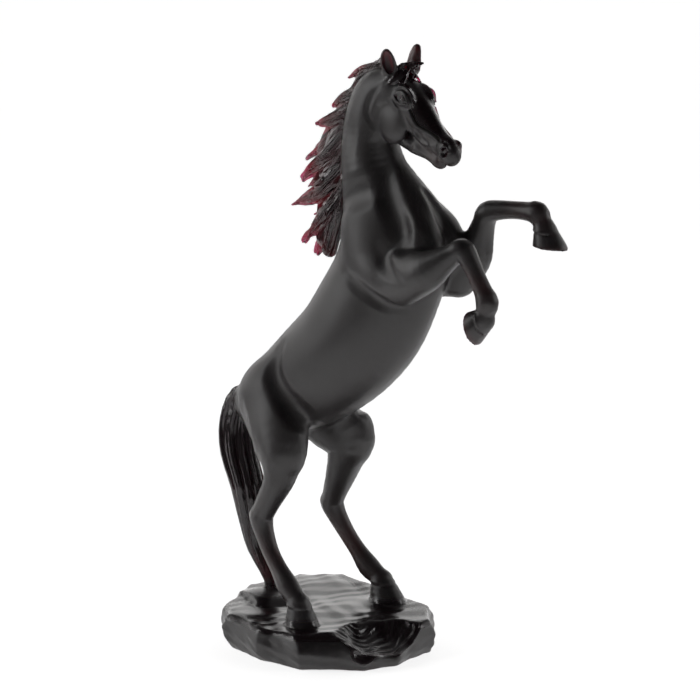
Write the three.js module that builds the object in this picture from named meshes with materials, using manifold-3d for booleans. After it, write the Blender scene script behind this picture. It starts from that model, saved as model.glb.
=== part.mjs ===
// A rearing horse on a piece of rock, cast in one piece of dark ruby crystal.
// Millimetres, +Z up. The horse faces +X and its left side is +Y. The origin is on the
// rock's flat underside, below the horse's own middle plane.
import * as THREE from "three";
import Module from "manifold-3d";

// Driving dimensions
const figureHeight = 331; // from the rock's top to the tip of the ears
const rockLength = 137; // along X, over the rock's widest outline
const rockWidth = 124; // along Y
const rockHeight = 20; // from the underside to the place where the hooves stand
const rockWaist = 11; // height of the rock's widest outline
const rockMiddle = [1, 4]; // middle of the widest outline, in plan
const clayCell = 2.4; // side of a cell of the grid that the form is modelled in
const faceCount = 8200; // triangles of the finished casting

// The figure is laid out in parts of its own height, 331 from the rock to the ears,
// which the tables below count in. Places are [x, y, z] with z from the rock's top.
const figureParts = 331;
const part = figureHeight / figureParts;
const place = ([x, y, z]) => new THREE.Vector3(x * part, y * part, rockHeight + z * part);
const acrossBody = new THREE.Vector3(0, 1, 0);
const alongBody = new THREE.Vector3(1, 0, 0);

// Trunk and neck
// Rows of [place, half depth, half width] from the dock to the breast.
const trunkRows = [
  [[-48, 0, 117], 15, 14],
  [[-35, 0, 121], 22, 20],
  [[-18, 0, 130], 27, 23.5],
  [[0, 0, 142], 31, 25],
  [[20, 0, 158], 33.5, 26.5],
  [[36, 0, 177], 35.5, 26],
  [[49, 0, 199], 34.5, 23],
  [[60, 0, 222], 31, 20],
];
// The same for the neck, from the withers to the poll.
const neckRows = [
  [[53, 0, 214], 33, 18],
  [[49.5, 0, 234], 29, 19],
  [[41.5, 0, 254], 21.5, 17.5],
  [[37, -0.5, 272], 17.5, 14.5],
  [[38.5, -1.5, 288], 16.5, 12],
  [[44, -3, 301], 15, 10],
  [[53, -4, 306], 12, 9],
];
// Muscles on each side: place on the left side, half sizes, direction and softness.
const muscles = [
  { at: [-28, 12, 126], size: [22, 12, 18], along: [0.8, 0, 0.55], blend: 7 }, // rump
  { at: [50, 14.5, 214], size: [30, 9.5, 17], along: [0.5, 0, -0.87], blend: 7 }, // shoulder
  { at: [61, 17.5, 204], size: [21, 9.5, 12.5], along: [0.87, 0, -0.5], blend: 3 }, // upper arm
  { at: [79.5, 9.5, 225], size: [19, 10.5, 13], along: [0.5, 0, -0.86], blend: 4 }, // breast
];
// Hollows on each side: a line of places near the left side, their radius and softness.
const hollows = [
  { line: [[30, 17, 240], [41, 21, 243], [51, 21.5, 245], [61, 19, 246]], size: 2.5, blend: 5 },
  { line: [[50, 11, 274], [55, 12.5, 263], [60, 15.5, 252], [67, 19, 241], [74, 22.5, 231], [80, 25, 221]],
    size: 3.2, blend: 5 }, // down the neck to the breast
  { line: [[43, 26, 198], [56, 25.5, 193], [66, 23, 189], [77, 16, 185]],
    size: 2.4, blend: 3 }, // behind the upper arm
  { line: [[-15, 21, 155], [-17, 25, 141], [-10, 26.5, 131], [-3, 26, 123], [3, 24, 116], [5, 19, 111]],
    size: 3.2, blend: 5 }, // flank
];
const breastLine = { line: [[74, 0, 250], [88, 0, 243], [97, 0, 231], [96, 0, 218]], size: 2.4, blend: 4 };
const taper = 0.3; // a hollow's radius at its two ends, as a share

// Legs
// The middle line of each limb, joint by joint: right side first, then left.
const hindLegs = [
  // hip, stifle, gaskin, hock, cannon, fetlock, coronet, sole
  [[-26, -14, 123], [-10, -23, 97], [-10.5, -26, 79], [-22.8, -27, 55],
    [-14.5, -28.5, 36.5], [0.7, -31, 19.5], [10, -32, 10.5], [12.5, -32.5, -2]],
  [[-18, 14, 120], [3, 21, 99], [-6.5, 24.5, 74], [-15, 27, 54.5],
    [-5, 29, 37.4], [9, 31.5, 19.8], [18.3, 32.5, 12.5], [22, 32.5, 1]],
];
const foreLegs = [
  // elbow, forearm, knee, cannon, fetlock, coronet, sole
  [[77, -20, 206], [95, -22.5, 212], [115.2, -18, 224.6], [125, -18, 211.7],
    [132.4, -18, 198], [129.6, -18, 188], [122.6, -18, 183]],
  [[82, 20, 205], [94.5, 19.5, 216], [107.3, 15, 240.6], [125.2, 15, 243.8],
    [140.9, 15, 243.4], [146.2, 15, 234.5], [148.8, 15, 225.6]],
];
// Rows of [place along the joints, half depth, half width].
const hindSections = [
  [0, 23, 13.5], [0.5, 21.5, 14], [1, 16, 12.5], [1.5, 11.2, 10.8], [2, 8.8, 9],
  [2.5, 7.2, 7], [2.85, 6.5, 6.3], [3, 6.9, 6.6], [3.4, 5.9, 5.4], [4, 5, 4.7],
  [4.5, 5.1, 4.8], [5, 6.5, 6.1], [5.6, 5.8, 5.6], [6, 6.4, 6.3],
];
const foreSections = [
  [0, 15, 9.5], [0.5, 13.2, 9.8], [1, 11, 9.2], [1.4, 7.9, 8.2], [1.75, 6.2, 6.8],
  [2, 6.4, 6.9], [2.4, 5.5, 5.8], [3, 4.9, 4.7], [3.6, 5.3, 5], [4, 6.5, 5.9],
  [4.5, 5.4, 5.3], [5, 6.4, 6.2],
];
const hockPoint = [-5.6, 0, 1.5]; // the bony point behind the hock
const tendonRoot = [-6.5, 0, 0]; // the tendon above it, behind the gaskin
// A hoof: half depth and width at the coronet and at the sole, and the way to the toe.
const hindHoof = { coronet: [6.6, 6.4], sole: [10.6, 9], toe: [1, 0, 0] };
const rightForeHoof = { coronet: [6.6, 6.4], sole: [8.9, 8], toe: [6, 0, -16] };
const leftForeHoof = { coronet: [6.2, 6.2], sole: [9.4, 8.2], toe: [19, 0, -1.5] };
const coronetBand = 2; // half height of the soft ring above a hoof

// Head
// Its middle is between the eyes. It turns to the right, nods down and leans a little.
const headMiddle = [70, -4, 302.6];
const headTurn = THREE.MathUtils.degToRad(-13);
const headNod = THREE.MathUtils.degToRad(-31);
const headLean = THREE.MathUtils.degToRad(3);
// Rows of [forward, up, half depth, half width] from the poll to the lips.
const skullRows = [
  [-21, -5, 8, 8.5], [-12, -4.5, 11, 10], [-2, -5, 12, 10.8], [10, -6, 10.3, 8.8],
  [22, -7.4, 8.5, 6.6], [32, -7.6, 7.4, 5.8], [39, -7, 7.4, 6.2], [44.5, -7, 6.2, 5.4],
];
const jawRows = [[4, -22, 5.5, 6.4], [16, -20, 4.5, 5.2], [28, -17.4, 3.4, 4.2], [36, -16.4, 3.2, 4]];
const chin = { at: [37.5, 0, -16.2], size: [4.2, 4, 3.4], blend: 1.5 };
const throat = { at: [-7, 0, -13], size: [13, 9, 12], blend: 3 }; // between the two cheeks
// What each side of the head has, as [forward, out, up].
const cheek = { at: [-2, 7.4, -15.5], size: [13, 4.6, 12], blend: 1.5 };
const orbit = { at: [0.8, 7.4, 1.4], size: [7.6, 3.6, 5.6], blend: 2.5 };
const eyeball = { at: [1.4, 8.6, 1], size: [3.4, 3, 3], blend: 0.5 };
const nostrilRim = { at: [42, 5, -4.4], size: [4.4, 2.6, 4.6], blend: 1.6 };
const nostrilHollow = { at: [43.4, 7.6, -4.6], size: [2.4, 1.9, 3.2], blend: 0.8 };
const faceRidge = [[[7, 9.4, -1.5], 1.4, 1.4], [[14, 8.6, -4], 1.3, 1.3], [[24, 6.8, -5.4], 1.2, 1.2],
  [[32, 5.8, -5], 1, 1], [[38, 6, -4.6], 0.8, 0.8]];
const jawHollow = { line: [[3, 9, -3.5], [10, 8.6, -8.5], [15.5, 7.6, -14], [15.5, 6.6, -21]], size: 1.8 };
const throatHollow = { line: [[-15, 9, -2], [-17, 9, -10], [-16, 9, -18], [-12, 8, -26]], size: 1.6 };
const ear = [[[-15.5, 6, 4], 3.6, 3.2], [[-18.2, 7.6, 8.6], 4.6, 3.7], [[-20.8, 8.3, 11.8], 4.4, 3.3],
  [[-22.8, 8.4, 14], 3, 2.3], [[-24, 8.2, 15.4], 1.2, 1.2]];
const earHollow = [[[-16, 10, 10.6], 2.6, 1.8], [[-18.6, 10.7, 13.8], 2.6, 1.8],
  [[-20.8, 10.6, 16.2], 1.4, 1]];
const leftEarLean = [4.4, 0.6, 5.4]; // how far its tip stands from the right one's mirrored tip
// Tufts between the ears, as rows of [place, half thickness, half width].
const forelocks = [
  [[[-16, 1, 9.5], 2.4, 3.6], [[-13, -3.5, 9], 2.4, 4.6], [[-13, -7.6, 5.6], 2.2, 4.4],
    [[-16, -9.6, 0.5], 1.8, 2.8], [[-19, -10.4, -4.5], 1.2, 1.2]],
  [[[-16, 1, 9.5], 2.4, 3.4], [[-11, 4, 10], 2.2, 3.6], [[-7, 6, 9.6], 1.8, 2.4], [[-3, 8, 7], 1.2, 1.2]],
  [[[-15, 2, 10], 2.2, 3], [[-12, 4.5, 13.4], 1.8, 2.2], [[-9, 6.2, 16], 1, 1]],
];

// Mane and tail
const crest = [[48, 320], [38, 311], [29, 302], [24, 292], [21, 280], [18, 266], [17, 252],
  [15, 238], [10, 224], [6, 212]]; // [x, z] down the back of the neck
const crestSize = [5, 4];
// Each lock, from its root to its tip, as rows of [[x, z], half depth].
const locks = [
  [[[43, 318], 4], [[35.5, 316.5], 4], [[27, 313.5], 3.4], [[19, 310.3], 1.6]],
  [[[38, 314.5], 3.5], [[32, 311], 4], [[28, 306], 3.6], [[26, 302], 2.4]],
  [[[28, 302.5], 4.5], [[19.5, 299.5], 5], [[13.5, 297], 4.6], [[8.8, 294.2], 3.2]],
  [[[25, 295], 5], [[16, 289], 5.4], [[6.5, 285], 4.6], [[-2.4, 282.8], 2]],
  [[[22.5, 288], 5], [[12.6, 279.4], 5.4], [[2.3, 271], 4.8], [[-11.5, 262.8], 2.8]],
  [[[20.5, 280], 5], [[10, 269], 5.6], [[-1.4, 260], 4.8], [[-12.6, 251.4], 3.2]],
  [[[19.5, 271], 5], [[9.7, 260.3], 5.6], [[-1.4, 252], 4.8], [[-10, 246.6], 2.4]],
  [[[18.5, 262], 5.4], [[9.3, 252], 6.4], [[-2.7, 242.6], 5.8], [[-20.6, 235.2], 1.4]],
  [[[17.5, 251], 5], [[10.5, 242], 5.4], [[3, 235.2], 4], [[-5.9, 230.8], 1.6]],
  [[[16, 245], 4.6], [[8.4, 235.5], 5.2], [[-0.7, 226.6], 5], [[-11.6, 215.6], 3.2]],
  [[[13.5, 236], 4.6], [[7.2, 227], 5], [[0.5, 217.8], 4.8], [[-4.3, 209.6], 3.4]],
];
const lockWidths = [4.6, 4.4, 3.2, 1.8];
// The sheet of hair that the locks come out of, as rows of [[x, z], half depth].
const maneSheet = [[[40, 314], 4], [[32, 308], 6], [[24, 297], 7], [[16, 284], 9], [[8, 268], 10.5],
  [[6, 252], 11.5], [[6, 238], 9], [[4, 228], 8], [[3, 219], 7]];
const sheetWidth = 3.2;
const lockSpread = 1.4; // neighbouring locks stand this far to either side of the middle
const tailLine = [[-50, 0, 121], [-62, 0, 116], [-67, 0, 101], [-65.5, 0, 84], [-58, 0, 65],
  [-54, 1, 45], [-51, 2, 28], [-42, 3, 10], [-37, 4, -4]];
const tailSections = [[0, 5, 5], [1, 8.5, 8], [2, 10.5, 10], [3, 11.5, 11], [4, 10.5, 11],
  [5, 8.8, 10], [6, 7, 8], [7, 5, 6], [8, 7, 7.5]];

// Rock
// Corners of the widest outline as shares of its half length and half width, with how far
// the side draws in from there to the rim and to the foot, in millimetres.
const rockCorners = [
  { at: [-0.78, -0.6], rim: 5, foot: 7 },
  { at: [-0.54, -0.87], rim: 4, foot: 4 },
  { at: [-0.04, -1], rim: 6, foot: 3 },
  { at: [0.43, -0.98], rim: 11, foot: 3 },
  { at: [0.87, -0.61], rim: 7, foot: 2 },
  { at: [1, -0.26], rim: 4, foot: 3 },
  { at: [0.97, 0.32], rim: 5, foot: 4 },
  { at: [0.72, 0.66], rim: 4, foot: 5 },
  { at: [-0.1, 0.9], rim: 4, foot: 4 },
  { at: [-0.57, 1], rim: 5, foot: 5 },
  { at: [-0.9, 0.71], rim: 4, foot: 5 },
  { at: [-1, 0.03], rim: 4, foot: 6 },
];
const rockSwell = 0.7; // height of the waves in its top
const rockWave = [11, 13]; // their lengths along X and Y, divided by two pi
const rockTilt = [-0.013, 0.015]; // slope of the top along X and Y
const scallop = 1.6; // how far the middle of each side facet is hollowed
// Chips knocked out of the rock: place above its middle and half sizes, in millimetres.
const chips = [
  { at: [62, -15.5, 47], size: [40, 40, 40] }, // the wide scoop in front
  { at: [66, -38, 12], size: [13, 13, 10] },
  { at: [10, -66, 21], size: [22, 12, 9] },
  { at: [-48, -52, 26], size: [16, 14, 12] },
];
const tailMound = { at: [-37, -7, -1], size: [20, 17, 6], blend: 3 };
const leftRise = { at: [20, 32, -3.4], size: [17, 14, 5], blend: 3 }; // ground under the left hoof
const moundFace = { at: [-40, -17.5, 2], away: [-0.43, -0.9, 0.25] }; // where the mound breaks off
const undersideSpare = 3; // the rock is modelled this much too deep and then cut off flat

const far = 30; // a distance that counts as well outside
const settleTurns = 8; // steps that bring a place on to the surface
const cellCorners = [[0, 0, 0], [1, 0, 0], [0, 1, 0], [1, 1, 0], [0, 0, 1], [1, 0, 1], [0, 1, 1], [1, 1, 1]];

// The modelling grid holds the distance to the surface in each of its points.
class Clay {
  constructor(low, high, cell) {
    this.low = low;
    this.cell = cell;
    this.count = [0, 1, 2].map((i) => Math.ceil((high[i] - low[i]) / cell) + 1);
    this.field = new Float32Array(this.count[0] * this.count[1] * this.count[2]).fill(far);
    this.measured = this.field.slice();
  }

  index(i, j, k) {
    return (i * this.count[1] + j) * this.count[2] + k;
  }

  // The grid points in a box, as the first and last number along each axis.
  window(low, high) {
    const first = low.map((value, i) =>
      Math.max(0, Math.floor((value - this.low[i]) / this.cell)));
    const last = high.map((value, i) =>
      Math.min(this.count[i] - 1, Math.ceil((value - this.low[i]) / this.cell)));
    return [first, last];
  }

  // Measures the distance to a shape, with a margin round it. It stays in this.measured for
  // the grid points that are returned.
  measure(shape, margin) {
    const points = [];
    for (const piece of shape) {
      const [first, last] = this.window(
        piece.low.map((value) => value - margin),
        piece.high.map((value) => value + margin),
      );
      for (let i = first[0]; i <= last[0]; i++) {
        const x = this.low[0] + i * this.cell;
        for (let j = first[1]; j <= last[1]; j++) {
          const y = this.low[1] + j * this.cell;
          for (let k = first[2]; k <= last[2]; k++) {
            const index = this.index(i, j, k);
            const distance = piece.distance(x, y, this.low[2] + k * this.cell);
            if (this.measured[index] === far) points.push(index);
            if (distance < this.measured[index]) this.measured[index] = distance;
          }
        }
      }
    }
    return points;
  }

  // Joins a shape on, with a soft hollow of size blend where it meets the rest.
  add(shape, blend) {
    for (const index of this.measure(shape, blend + 2 * this.cell)) {
      const before = this.field[index];
      const distance = this.measured[index];
      const share = Math.max(blend - Math.abs(before - distance), 0) / blend;
      this.field[index] = Math.min(before, distance) - (share * share * blend) / 4;
      this.measured[index] = far;
    }
  }

  // The distance to the surface at a place between the grid points.
  sample(place) {
    const at = place.toArray().map((value, i) => (value - this.low[i]) / this.cell);
    const base = at.map((value, i) => Math.min(Math.max(Math.floor(value), 0), this.count[i] - 2));
    let total = 0;
    for (const [u, v, w] of cellCorners) {
      const share = [u, v, w].reduce((product, side, i) =>
        product * (side ? at[i] - base[i] : 1 - at[i] + base[i]), 1);
      total += share * this.field[this.index(base[0] + u, base[1] + v, base[2] + w)];
    }
    return total;
  }

  // The place on the surface that is nearest to a place close to it.
  onSkin(place) {
    const found = place.clone();
    for (let turn = 0; turn < settleTurns; turn++) {
      const slope = new THREE.Vector3(...[[1, 0, 0], [0, 1, 0], [0, 0, 1]].map((axis) => {
        const step = new THREE.Vector3(...axis).multiplyScalar(this.cell / 2);
        const ahead = this.sample(found.clone().add(step));
        return (ahead - this.sample(found.clone().sub(step))) / this.cell;
      }));
      found.addScaledVector(slope, -this.sample(found) / Math.max(slope.lengthSq(), 0.2));
    }
    return found;
  }

  // Cuts a shape out, with a soft edge of size blend.
  cut(shape, blend) {
    for (const index of this.measure(shape, blend + 2 * this.cell)) {
      const before = this.field[index];
      const distance = this.measured[index];
      const share = Math.max(blend - Math.abs(before + distance), 0) / blend;
      this.field[index] = Math.max(before, -distance) + (share * share * blend) / 4;
      this.measured[index] = far;
    }
  }
}

// An ellipsoid as a shape: half sizes along its own direction, across it, and the third way.
function egg(centre, size, along, across) {
  const first = along.clone().normalize();
  const second = across.clone().addScaledVector(first, -across.dot(first)).normalize();
  const third = new THREE.Vector3().crossVectors(first, second);
  const axes = [first, second, third];
  const reach = ["x", "y", "z"].map((name) =>
    Math.hypot(...axes.map((axis, i) => axis[name] * size[i])));
  const middle = centre.toArray();
  return [{
    low: middle.map((value, i) => value - reach[i]),
    high: middle.map((value, i) => value + reach[i]),
    distance(x, y, z) {
      let level = 0;
      let slope = 0;
      for (let i = 0; i < 3; i++) {
        const axis = axes[i];
        const share = ((x - middle[0]) * axis.x + (y - middle[1]) * axis.y
          + (z - middle[2]) * axis.z) / size[i];
        level += share * share;
        slope += (share / size[i]) ** 2;
      }
      level = Math.sqrt(level);
      return (level * (level - 1)) / Math.max(Math.sqrt(slope), 1e-6);
    },
  }];
}

// Rows of numbers drawn into a smooth curve, with steps rows to each stretch.
function smoothRows(rows, steps) {
  const mirror = (a, b) => a.map((value, i) => 2 * value - b[i]);
  const all = [mirror(rows[0], rows[1]), ...rows, mirror(rows.at(-1), rows.at(-2))];
  const result = [];
  for (let i = 0; i + 3 < all.length; i++) {
    const [a, b, c, d] = all.slice(i, i + 4);
    for (let step = 0; step < steps; step++) {
      const t = step / steps;
      result.push(b.map((value, j) => 0.5 * (2 * value + (c[j] - a[j]) * t
        + (2 * a[j] - 5 * value + 4 * c[j] - d[j]) * t * t
        + (3 * value - a[j] - 3 * c[j] + d[j]) * t ** 3)));
    }
  }
  result.push(rows.at(-1));
  return result;
}

// A tube of changing oval section as a shape, through stations of [place, half depth,
// half width]. The half width lies along the direction across.
function sweep(stations, across, steps) {
  const rows = smoothRows(stations.map(([at, a, b]) => [at.x, at.y, at.z, a, b]), steps);
  const pieces = [];
  for (let i = 0; i + 1 < rows.length; i++) {
    const [x0, y0, z0, a0, b0] = rows[i];
    const [x1, y1, z1, a1, b1] = rows[i + 1];
    const axis = new THREE.Vector3(x1 - x0, y1 - y0, z1 - z0);
    const length = Math.max(axis.length(), 1e-6);
    axis.divideScalar(length);
    const side = across.clone().addScaledVector(axis, -across.dot(axis)).normalize();
    const reach = Math.max(a0, b0, a1, b1);
    pieces.push({
      low: [Math.min(x0, x1) - reach, Math.min(y0, y1) - reach, Math.min(z0, z1) - reach],
      high: [Math.max(x0, x1) + reach, Math.max(y0, y1) + reach, Math.max(z0, z1) + reach],
      distance(x, y, z) {
        let dx = x - x0;
        let dy = y - y0;
        let dz = z - z0;
        const along = Math.min(Math.max(dx * axis.x + dy * axis.y + dz * axis.z, 0), length);
        dx -= along * axis.x;
        dy -= along * axis.y;
        dz -= along * axis.z;
        const t = along / length;
        const sideways = (dx * side.x + dy * side.y + dz * side.z) ** 2;
        const rest = Math.max(dx * dx + dy * dy + dz * dz - sideways, 0);
        const a = (a0 + (a1 - a0) * t) ** 2;
        const b = (b0 + (b1 - b0) * t) ** 2;
        const level = Math.sqrt(rest / a + sideways / b);
        const slope = Math.sqrt(rest / (a * a) + sideways / (b * b));
        return (level * (level - 1)) / Math.max(slope, 1e-6);
      },
    });
  }
  return pieces;
}

// A shape cut off flat at a point: only what lies behind the plane is left.
function behind(shape, point, normal) {
  return shape.map((piece) => ({
    ...piece,
    distance: (x, y, z) => Math.max(piece.distance(x, y, z),
      (x - point.x) * normal.x + (y - point.y) * normal.y + (z - point.z) * normal.z),
  }));
}

const scaled = (sizes) => sizes.map((value) => value * part);

// The place at t, counted in joints, on a line that rounds the joints a little.
function onJoints(joints, t) {
  const i = Math.min(Math.floor(t), joints.length - 2);
  const s = t - i;
  const b = joints[i];
  const c = joints[i + 1];
  const a = joints[i - 1] ?? b.map((value, j) => 2 * value - c[j]);
  const d = joints[i + 2] ?? c.map((value, j) => 2 * value - b[j]);
  return b.map((value, j) => {
    const straight = value + s * (c[j] - value);
    const round = 0.5 * (2 * value + (c[j] - a[j]) * s
      + (2 * a[j] - 5 * value + 4 * c[j] - d[j]) * s * s
      + (3 * value - a[j] - 3 * c[j] + d[j]) * s ** 3);
    return (straight + round) / 2;
  });
}

function limb(joints, sections) {
  const stations = sections.map(([t, a, b]) =>
    [place(onJoints(joints, t)), a * part, b * part]);
  return sweep(stations, acrossBody, 3);
}

function body(clay) {
  const station = ([at, a, b]) => [place(at), a * part, b * part];
  clay.add(sweep(trunkRows.map(station), acrossBody, 4), 4 * part);
  for (const side of [-1, 1]) {
    for (const { at: [x, y, z], size, along, blend } of muscles) {
      const shape = egg(place([x, side * y, z]), scaled(size), new THREE.Vector3(...along), acrossBody);
      clay.add(shape, blend * part);
    }
  }
  clay.add(sweep(neckRows.map(station), acrossBody, 4), 8 * part);
}

// Cuts a groove along places close to the surface. It runs out at both ends.
function groove(clay, places, size, blend) {
  const rows = places.map((at, i) => {
    const radius = size * (i === 0 || i === places.length - 1 ? taper : 1);
    return [clay.onSkin(at), radius, radius];
  });
  clay.cut(sweep(rows, acrossBody, 3), blend);
}

function creases(clay) {
  for (const side of [-1, 1]) {
    for (const { line, size, blend } of hollows) {
      groove(clay, line.map(([x, y, z]) => place([x, side * y, z])), size * part, blend * part);
    }
  }
  groove(clay, breastLine.line.map(place), breastLine.size * part, breastLine.blend * part);
}

function hoof(clay, joints, { coronet, sole, toe }) {
  const top = place(joints.at(-2));
  const ground = place(joints.at(-1));
  const way = new THREE.Vector3(...toe).normalize();
  const normal = new THREE.Vector3().crossVectors(way, acrossBody).normalize();
  if (normal.dot(new THREE.Vector3().subVectors(ground, top)) < 0) normal.negate();
  const past = 0.5; // the cone runs on past the sole and is cut off there
  const end = ground.clone().lerp(top, -past);
  const beyond = sole.map((value, i) => value + past * (value - coronet[i]));
  const cone = sweep([[top, ...scaled(coronet)], [ground, ...scaled(sole)], [end, ...scaled(beyond)]],
    acrossBody, 3);
  clay.add(behind(cone, ground, normal), 0.8 * part);
  const band = [coronet[0] * 1.1, coronet[1] * 1.1, coronetBand];
  clay.add(egg(top, scaled(band), way, acrossBody), part);
}

function legs(clay) {
  for (const joints of hindLegs) {
    clay.add(limb(joints, hindSections), 4 * part);
    const [, , gaskin, hock] = joints;
    const point = hock.map((value, i) => value + hockPoint[i]);
    const root = hock.map((value, i) => 0.3 * value + 0.7 * gaskin[i] + tendonRoot[i]);
    const middle = point.map((value, i) => 0.55 * value + 0.45 * root[i]);
    const tendon = [[point, 2.9, 2.7], [middle, 2.2, 2.1], [root, 2.6, 2.4]];
    clay.add(sweep(tendon.map(([at, a, b]) => [place(at), a * part, b * part]), acrossBody, 4), 3 * part);
    hoof(clay, joints, hindHoof);
  }
  for (const joints of foreLegs) clay.add(limb(joints, foreSections), 4 * part);
  creases(clay);
  hoof(clay, foreLegs[0], rightForeHoof);
  hoof(clay, foreLegs[1], leftForeHoof);
}

function head(clay) {
  const forward = new THREE.Vector3(
    Math.cos(headNod) * Math.cos(headTurn),
    Math.cos(headNod) * Math.sin(headTurn),
    Math.sin(headNod),
  );
  const level = new THREE.Vector3(-Math.sin(headTurn), Math.cos(headTurn), 0);
  const left = level.applyAxisAngle(forward, headLean);
  const up = new THREE.Vector3().crossVectors(forward, left);
  const at = ([f, l, u]) => place(headMiddle)
    .addScaledVector(forward, f * part).addScaledVector(left, l * part).addScaledVector(up, u * part);
  const lump = ({ at: spot, size }) => egg(at(spot), scaled(size), forward, left);
  const rod = (rows, across = left) =>
    sweep(rows.map(([spot, a, b]) => [at(spot), a * part, b * part]), across, 4);
  clay.add(rod(skullRows.map(([f, u, a, b]) => [[f, 0, u], a, b])), 4 * part);
  clay.add(rod(jawRows.map(([f, u, a, b]) => [[f, 0, u], a, b])), 3 * part);
  for (const shape of [chin, throat]) clay.add(lump(shape), shape.blend * part);
  const earTop = ear.at(-1)[0][2];
  const earFoot = ear[0][0][2];
  for (const side of [-1, 1]) {
    const sided = (shape) => ({ ...shape, at: [shape.at[0], side * shape.at[1], shape.at[2]] });
    const sidedRows = (rows) => rows.map(([[f, l, u], a, b]) => [[f, side * l, u], a, b]);
    // The left ear leans further towards its tip.
    const leaning = (rows) => (side < 0 ? rows : rows.map(([spot, a, b]) => {
      const share = (spot[2] - earFoot) / (earTop - earFoot);
      return [spot.map((value, i) => value + share * leftEarLean[i]), a, b];
    }));
    for (const shape of [cheek, orbit]) clay.add(lump(sided(shape)), shape.blend * part);
    for (const { line, size } of [jawHollow, throatHollow]) {
      groove(clay, line.map(([f, l, u]) => at([f, side * l, u])), size * part, 2.4 * part);
    }
    const ridge = sidedRows(faceRidge).map(([spot, a, b]) => [clay.onSkin(at(spot)), a * part, b * part]);
    clay.add(sweep(ridge, left, 3), 1.6 * part);
    for (const shape of [eyeball, nostrilRim]) clay.add(lump(sided(shape)), shape.blend * part);
    clay.cut(lump(sided(nostrilHollow)), nostrilHollow.blend * part);
    clay.add(rod(sidedRows(leaning(ear))), 2 * part);
    clay.cut(rod(sidedRows(leaning(earHollow))), 0.8 * part);
  }
  for (const tuft of forelocks) clay.add(rod(tuft, forward), 4.5 * part);
}

function hair(clay) {
  const crestStations = crest.map(([x, z]) => [place([x, 0, z]), ...scaled(crestSize)]);
  clay.add(sweep(crestStations, acrossBody, 3), 2 * part);
  const sheet = maneSheet.map(([[x, z], size]) => [place([x, 0, z]), size * part, sheetWidth * part]);
  clay.add(sweep(sheet, acrossBody, 4), part);
  locks.forEach((rows, i) => {
    const y = i % 2 ? -lockSpread : lockSpread;
    const stations = rows.map(([[x, z], size], n) =>
      [place([x, n ? y : 0, z]), size * part, lockWidths[n] * part]);
    clay.add(sweep(stations, acrossBody, 4), 2.4 * part);
  });
  clay.add(limb(tailLine, tailSections), 3 * part);
}

// The rock: leaning facets round a waved, slightly tilted top.
function rock(clay) {
  const corners = rockCorners.map(({ at: [x, y], rim, foot }) => ({
    x: rockMiddle[0] + (x * rockLength) / 2,
    y: rockMiddle[1] + (y * rockWidth) / 2,
    rim: rim / (rockHeight - rockWaist),
    foot: foot / rockWaist,
  }));
  const planes = [];
  corners.forEach((corner, i) => {
    const next = corners[(i + 1) % corners.length];
    const run = new THREE.Vector2(next.x - corner.x, next.y - corner.y);
    const width = run.length();
    run.normalize();
    const normal = new THREE.Vector2(run.y, -run.x);
    for (const [lean, sign] of [[corner.rim, 1], [corner.foot, -1]]) {
      planes.push({ corner, run, width, normal, rise: sign * lean, length: Math.hypot(1, lean) });
    }
  });
  const distance = (x, y, z) => {
    const waves = rockSwell * Math.sin(x / rockWave[0] + 1) * Math.cos(y / rockWave[1]);
    const top = rockHeight + rockTilt[0] * x + rockTilt[1] * y + waves;
    let deepest = Math.max(-undersideSpare - z, z - top);
    for (const { corner, run, width, normal, rise, length } of planes) {
      const out = (x - corner.x) * normal.x + (y - corner.y) * normal.y;
      const share = ((x - corner.x) * run.x + (y - corner.y) * run.y) / width;
      const hollow = scallop * Math.max(0, 4 * share * (1 - share));
      deepest = Math.max(deepest, (out + hollow + (z - rockWaist) * rise) / length);
    }
    return deepest;
  };
  const low = [rockMiddle[0] - rockLength / 2, rockMiddle[1] - rockWidth / 2, -undersideSpare];
  const high = [rockMiddle[0] + rockLength / 2, rockMiddle[1] + rockWidth / 2, rockHeight + 5];
  let shape = [{ low, high, distance }];
  for (const { at: [x, y, z], size } of chips) {
    const [chip] = egg(new THREE.Vector3(x, y, z), size, alongBody, acrossBody);
    const whole = shape[0];
    shape = [{ ...whole, distance: (...at) => Math.max(whole.distance(...at), -chip.distance(...at)) }];
  }
  clay.add(shape, 0.5);
  const mound = egg(place(tailMound.at), scaled(tailMound.size), alongBody, acrossBody);
  const rise = egg(place(leftRise.at), scaled(leftRise.size), alongBody, acrossBody);
  clay.add(rise, leftRise.blend * part);
  const away = new THREE.Vector3(...moundFace.away).normalize();
  clay.add(behind(mound, place(moundFace.at), away), tailMound.blend * part);
}

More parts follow.
